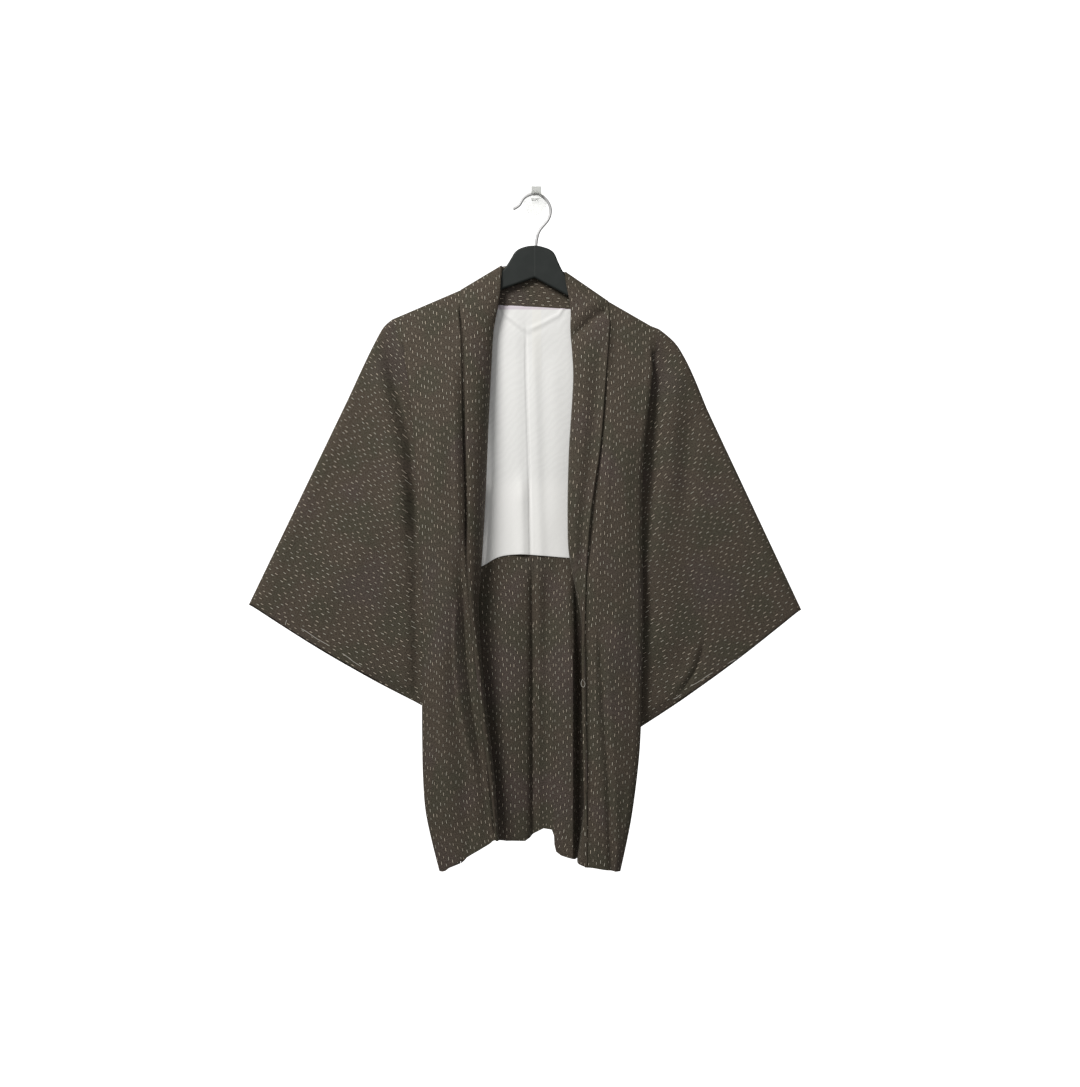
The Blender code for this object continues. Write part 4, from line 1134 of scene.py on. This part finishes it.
def chrome_finish(name):
    finish, shader, place = blank_finish(name, {"Metallic": 0.3})
    rubbed = place.noise(260.0, 3.0)
    rubbed.rise(0.45, 0.8).over((0.52, 0.52, 0.53, 1.0), (0.42, 0.42, 0.43, 1.0)
                                ).into(shader, "Base Color")
    (rubbed * 0.1 + 0.38).into(shader, "Roughness")
    return finish


wire_line = [(x, z, 0) for x, z in WIRE_PATH]
wire = cord("wire", [wire_line], WIRE_RADIUS, fineness=6, order=4, capped=True)
dress(upright("wire_hook", wire), chrome_finish("chrome_wire"), "chrome_wire", "hanger_hook")

# -------- wall hook
# A clear moulded hook: a round plate that sticks to the wall, a short arm and an upturned lip that
# holds the hanger's wire.
def clear_finish(name):
    finish, shader, place = blank_finish(name, {"Transmission Weight": 0.86, "IOR": 1.5})
    haze = place.noise(320.0, 3.0)
    _, y, z = place.parts()
    # painted shade: the hook's upper front part is tinted grey, standing in for the darker look of its
    # refracting facets
    lip_shade = z.rise(0.004, 0.008) * y.rise(-0.003, -0.005)
    ground = haze.rise(0.4, 0.75).over((0.92, 0.925, 0.91, 1.0), (0.80, 0.805, 0.79, 1.0))
    (lip_shade * 0.8).over(ground, (0.40, 0.41, 0.39, 1.0)).into(shader, "Base Color")
    (haze * 0.12 + 0.05).into(shader, "Roughness")
    return finish


clear_hook = add("clear_hook", bpy.data.meshes.new_from_object(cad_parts["wall_hook"]))
clear_hook.data.shade_smooth()
round_edges(clear_hook, width=0.6, segments=3, angle=40)
dress(clear_hook, clear_finish("clear_plastic"), "clear_plastic", "wall_hook")

# -------- room
# A plain pale studio: a white screen well behind the jacket, a pale floor far below it, one broad
# lamp from the upper left and a weaker one in front.
def plain_board(name, points, colour, glow):
    finish = blank_finish(name + "_paint", {
        "Base Color": (*colour, 1.0), "Roughness": 0.9,
        "Emission Color": (*colour, 1.0), "Emission Strength": glow})[0]
    mesh = bpy.data.meshes.new(name)
    mesh.from_pydata(points, [], [range(len(points))])
    mesh.materials.append(finish)
    add(name, mesh)


plain_board("screen", [(-1.9, 3.2, -2.4), (1.9, 3.2, -2.4), (1.9, 3.2, 1.4), (-1.9, 3.2, 1.4)],
            (1.0, 1.0, 1.0), 1.0)
plain_board("floor", [(0.9 * cos(n / 24 * pi), 0.9 * sin(n / 24 * pi), -1.62)
                      for n in range(48)], (0.82, 0.82, 0.81), 0.0)


LIT = (0, 0, -0.4)


def lamp(name, place, size, watts, colour):
    data = put(bpy.data.lights.new(name, "AREA"), shape="DISK", size=size, energy=watts, color=colour)
    aim = (Vector(LIT) - Vector(place)).to_track_quat("-Z", "Y")
    put(add(name, data), location=place, rotation_euler=aim.to_euler())


lamp("key", (-1.15, -1.75, 1.15), 1.0, 57, (1.0, 0.985, 0.955))
lamp("fill", (0.3, -2.6, 0.5), 1.6, 7, (1.0, 0.99, 0.97))
world = bpy.data.worlds.new("studio")
world.use_nodes = True
sky = world.node_tree.nodes["Background"].inputs
sky["Color"].default_value = (1.0, 0.995, 0.98, 1.0)
sky["Strength"].default_value = 0.17
bpy.context.scene.world = world
bpy.context.scene.view_settings.view_transform = "Standard"

CAMERA_FAR = 2.6
SEEN_WIDTH = 1.5435  # of the plane through the origin
camera = add("camera", bpy.data.cameras.new("camera"))
camera.data.sensor_width = 36.0
camera.data.lens = camera.data.sensor_width * CAMERA_FAR / SEEN_WIDTH
camera.location = (0.0071, -CAMERA_FAR, -0.4835)
camera.rotation_euler = (pi / 2, 0, 0)
bpy.context.scene.camera = camera
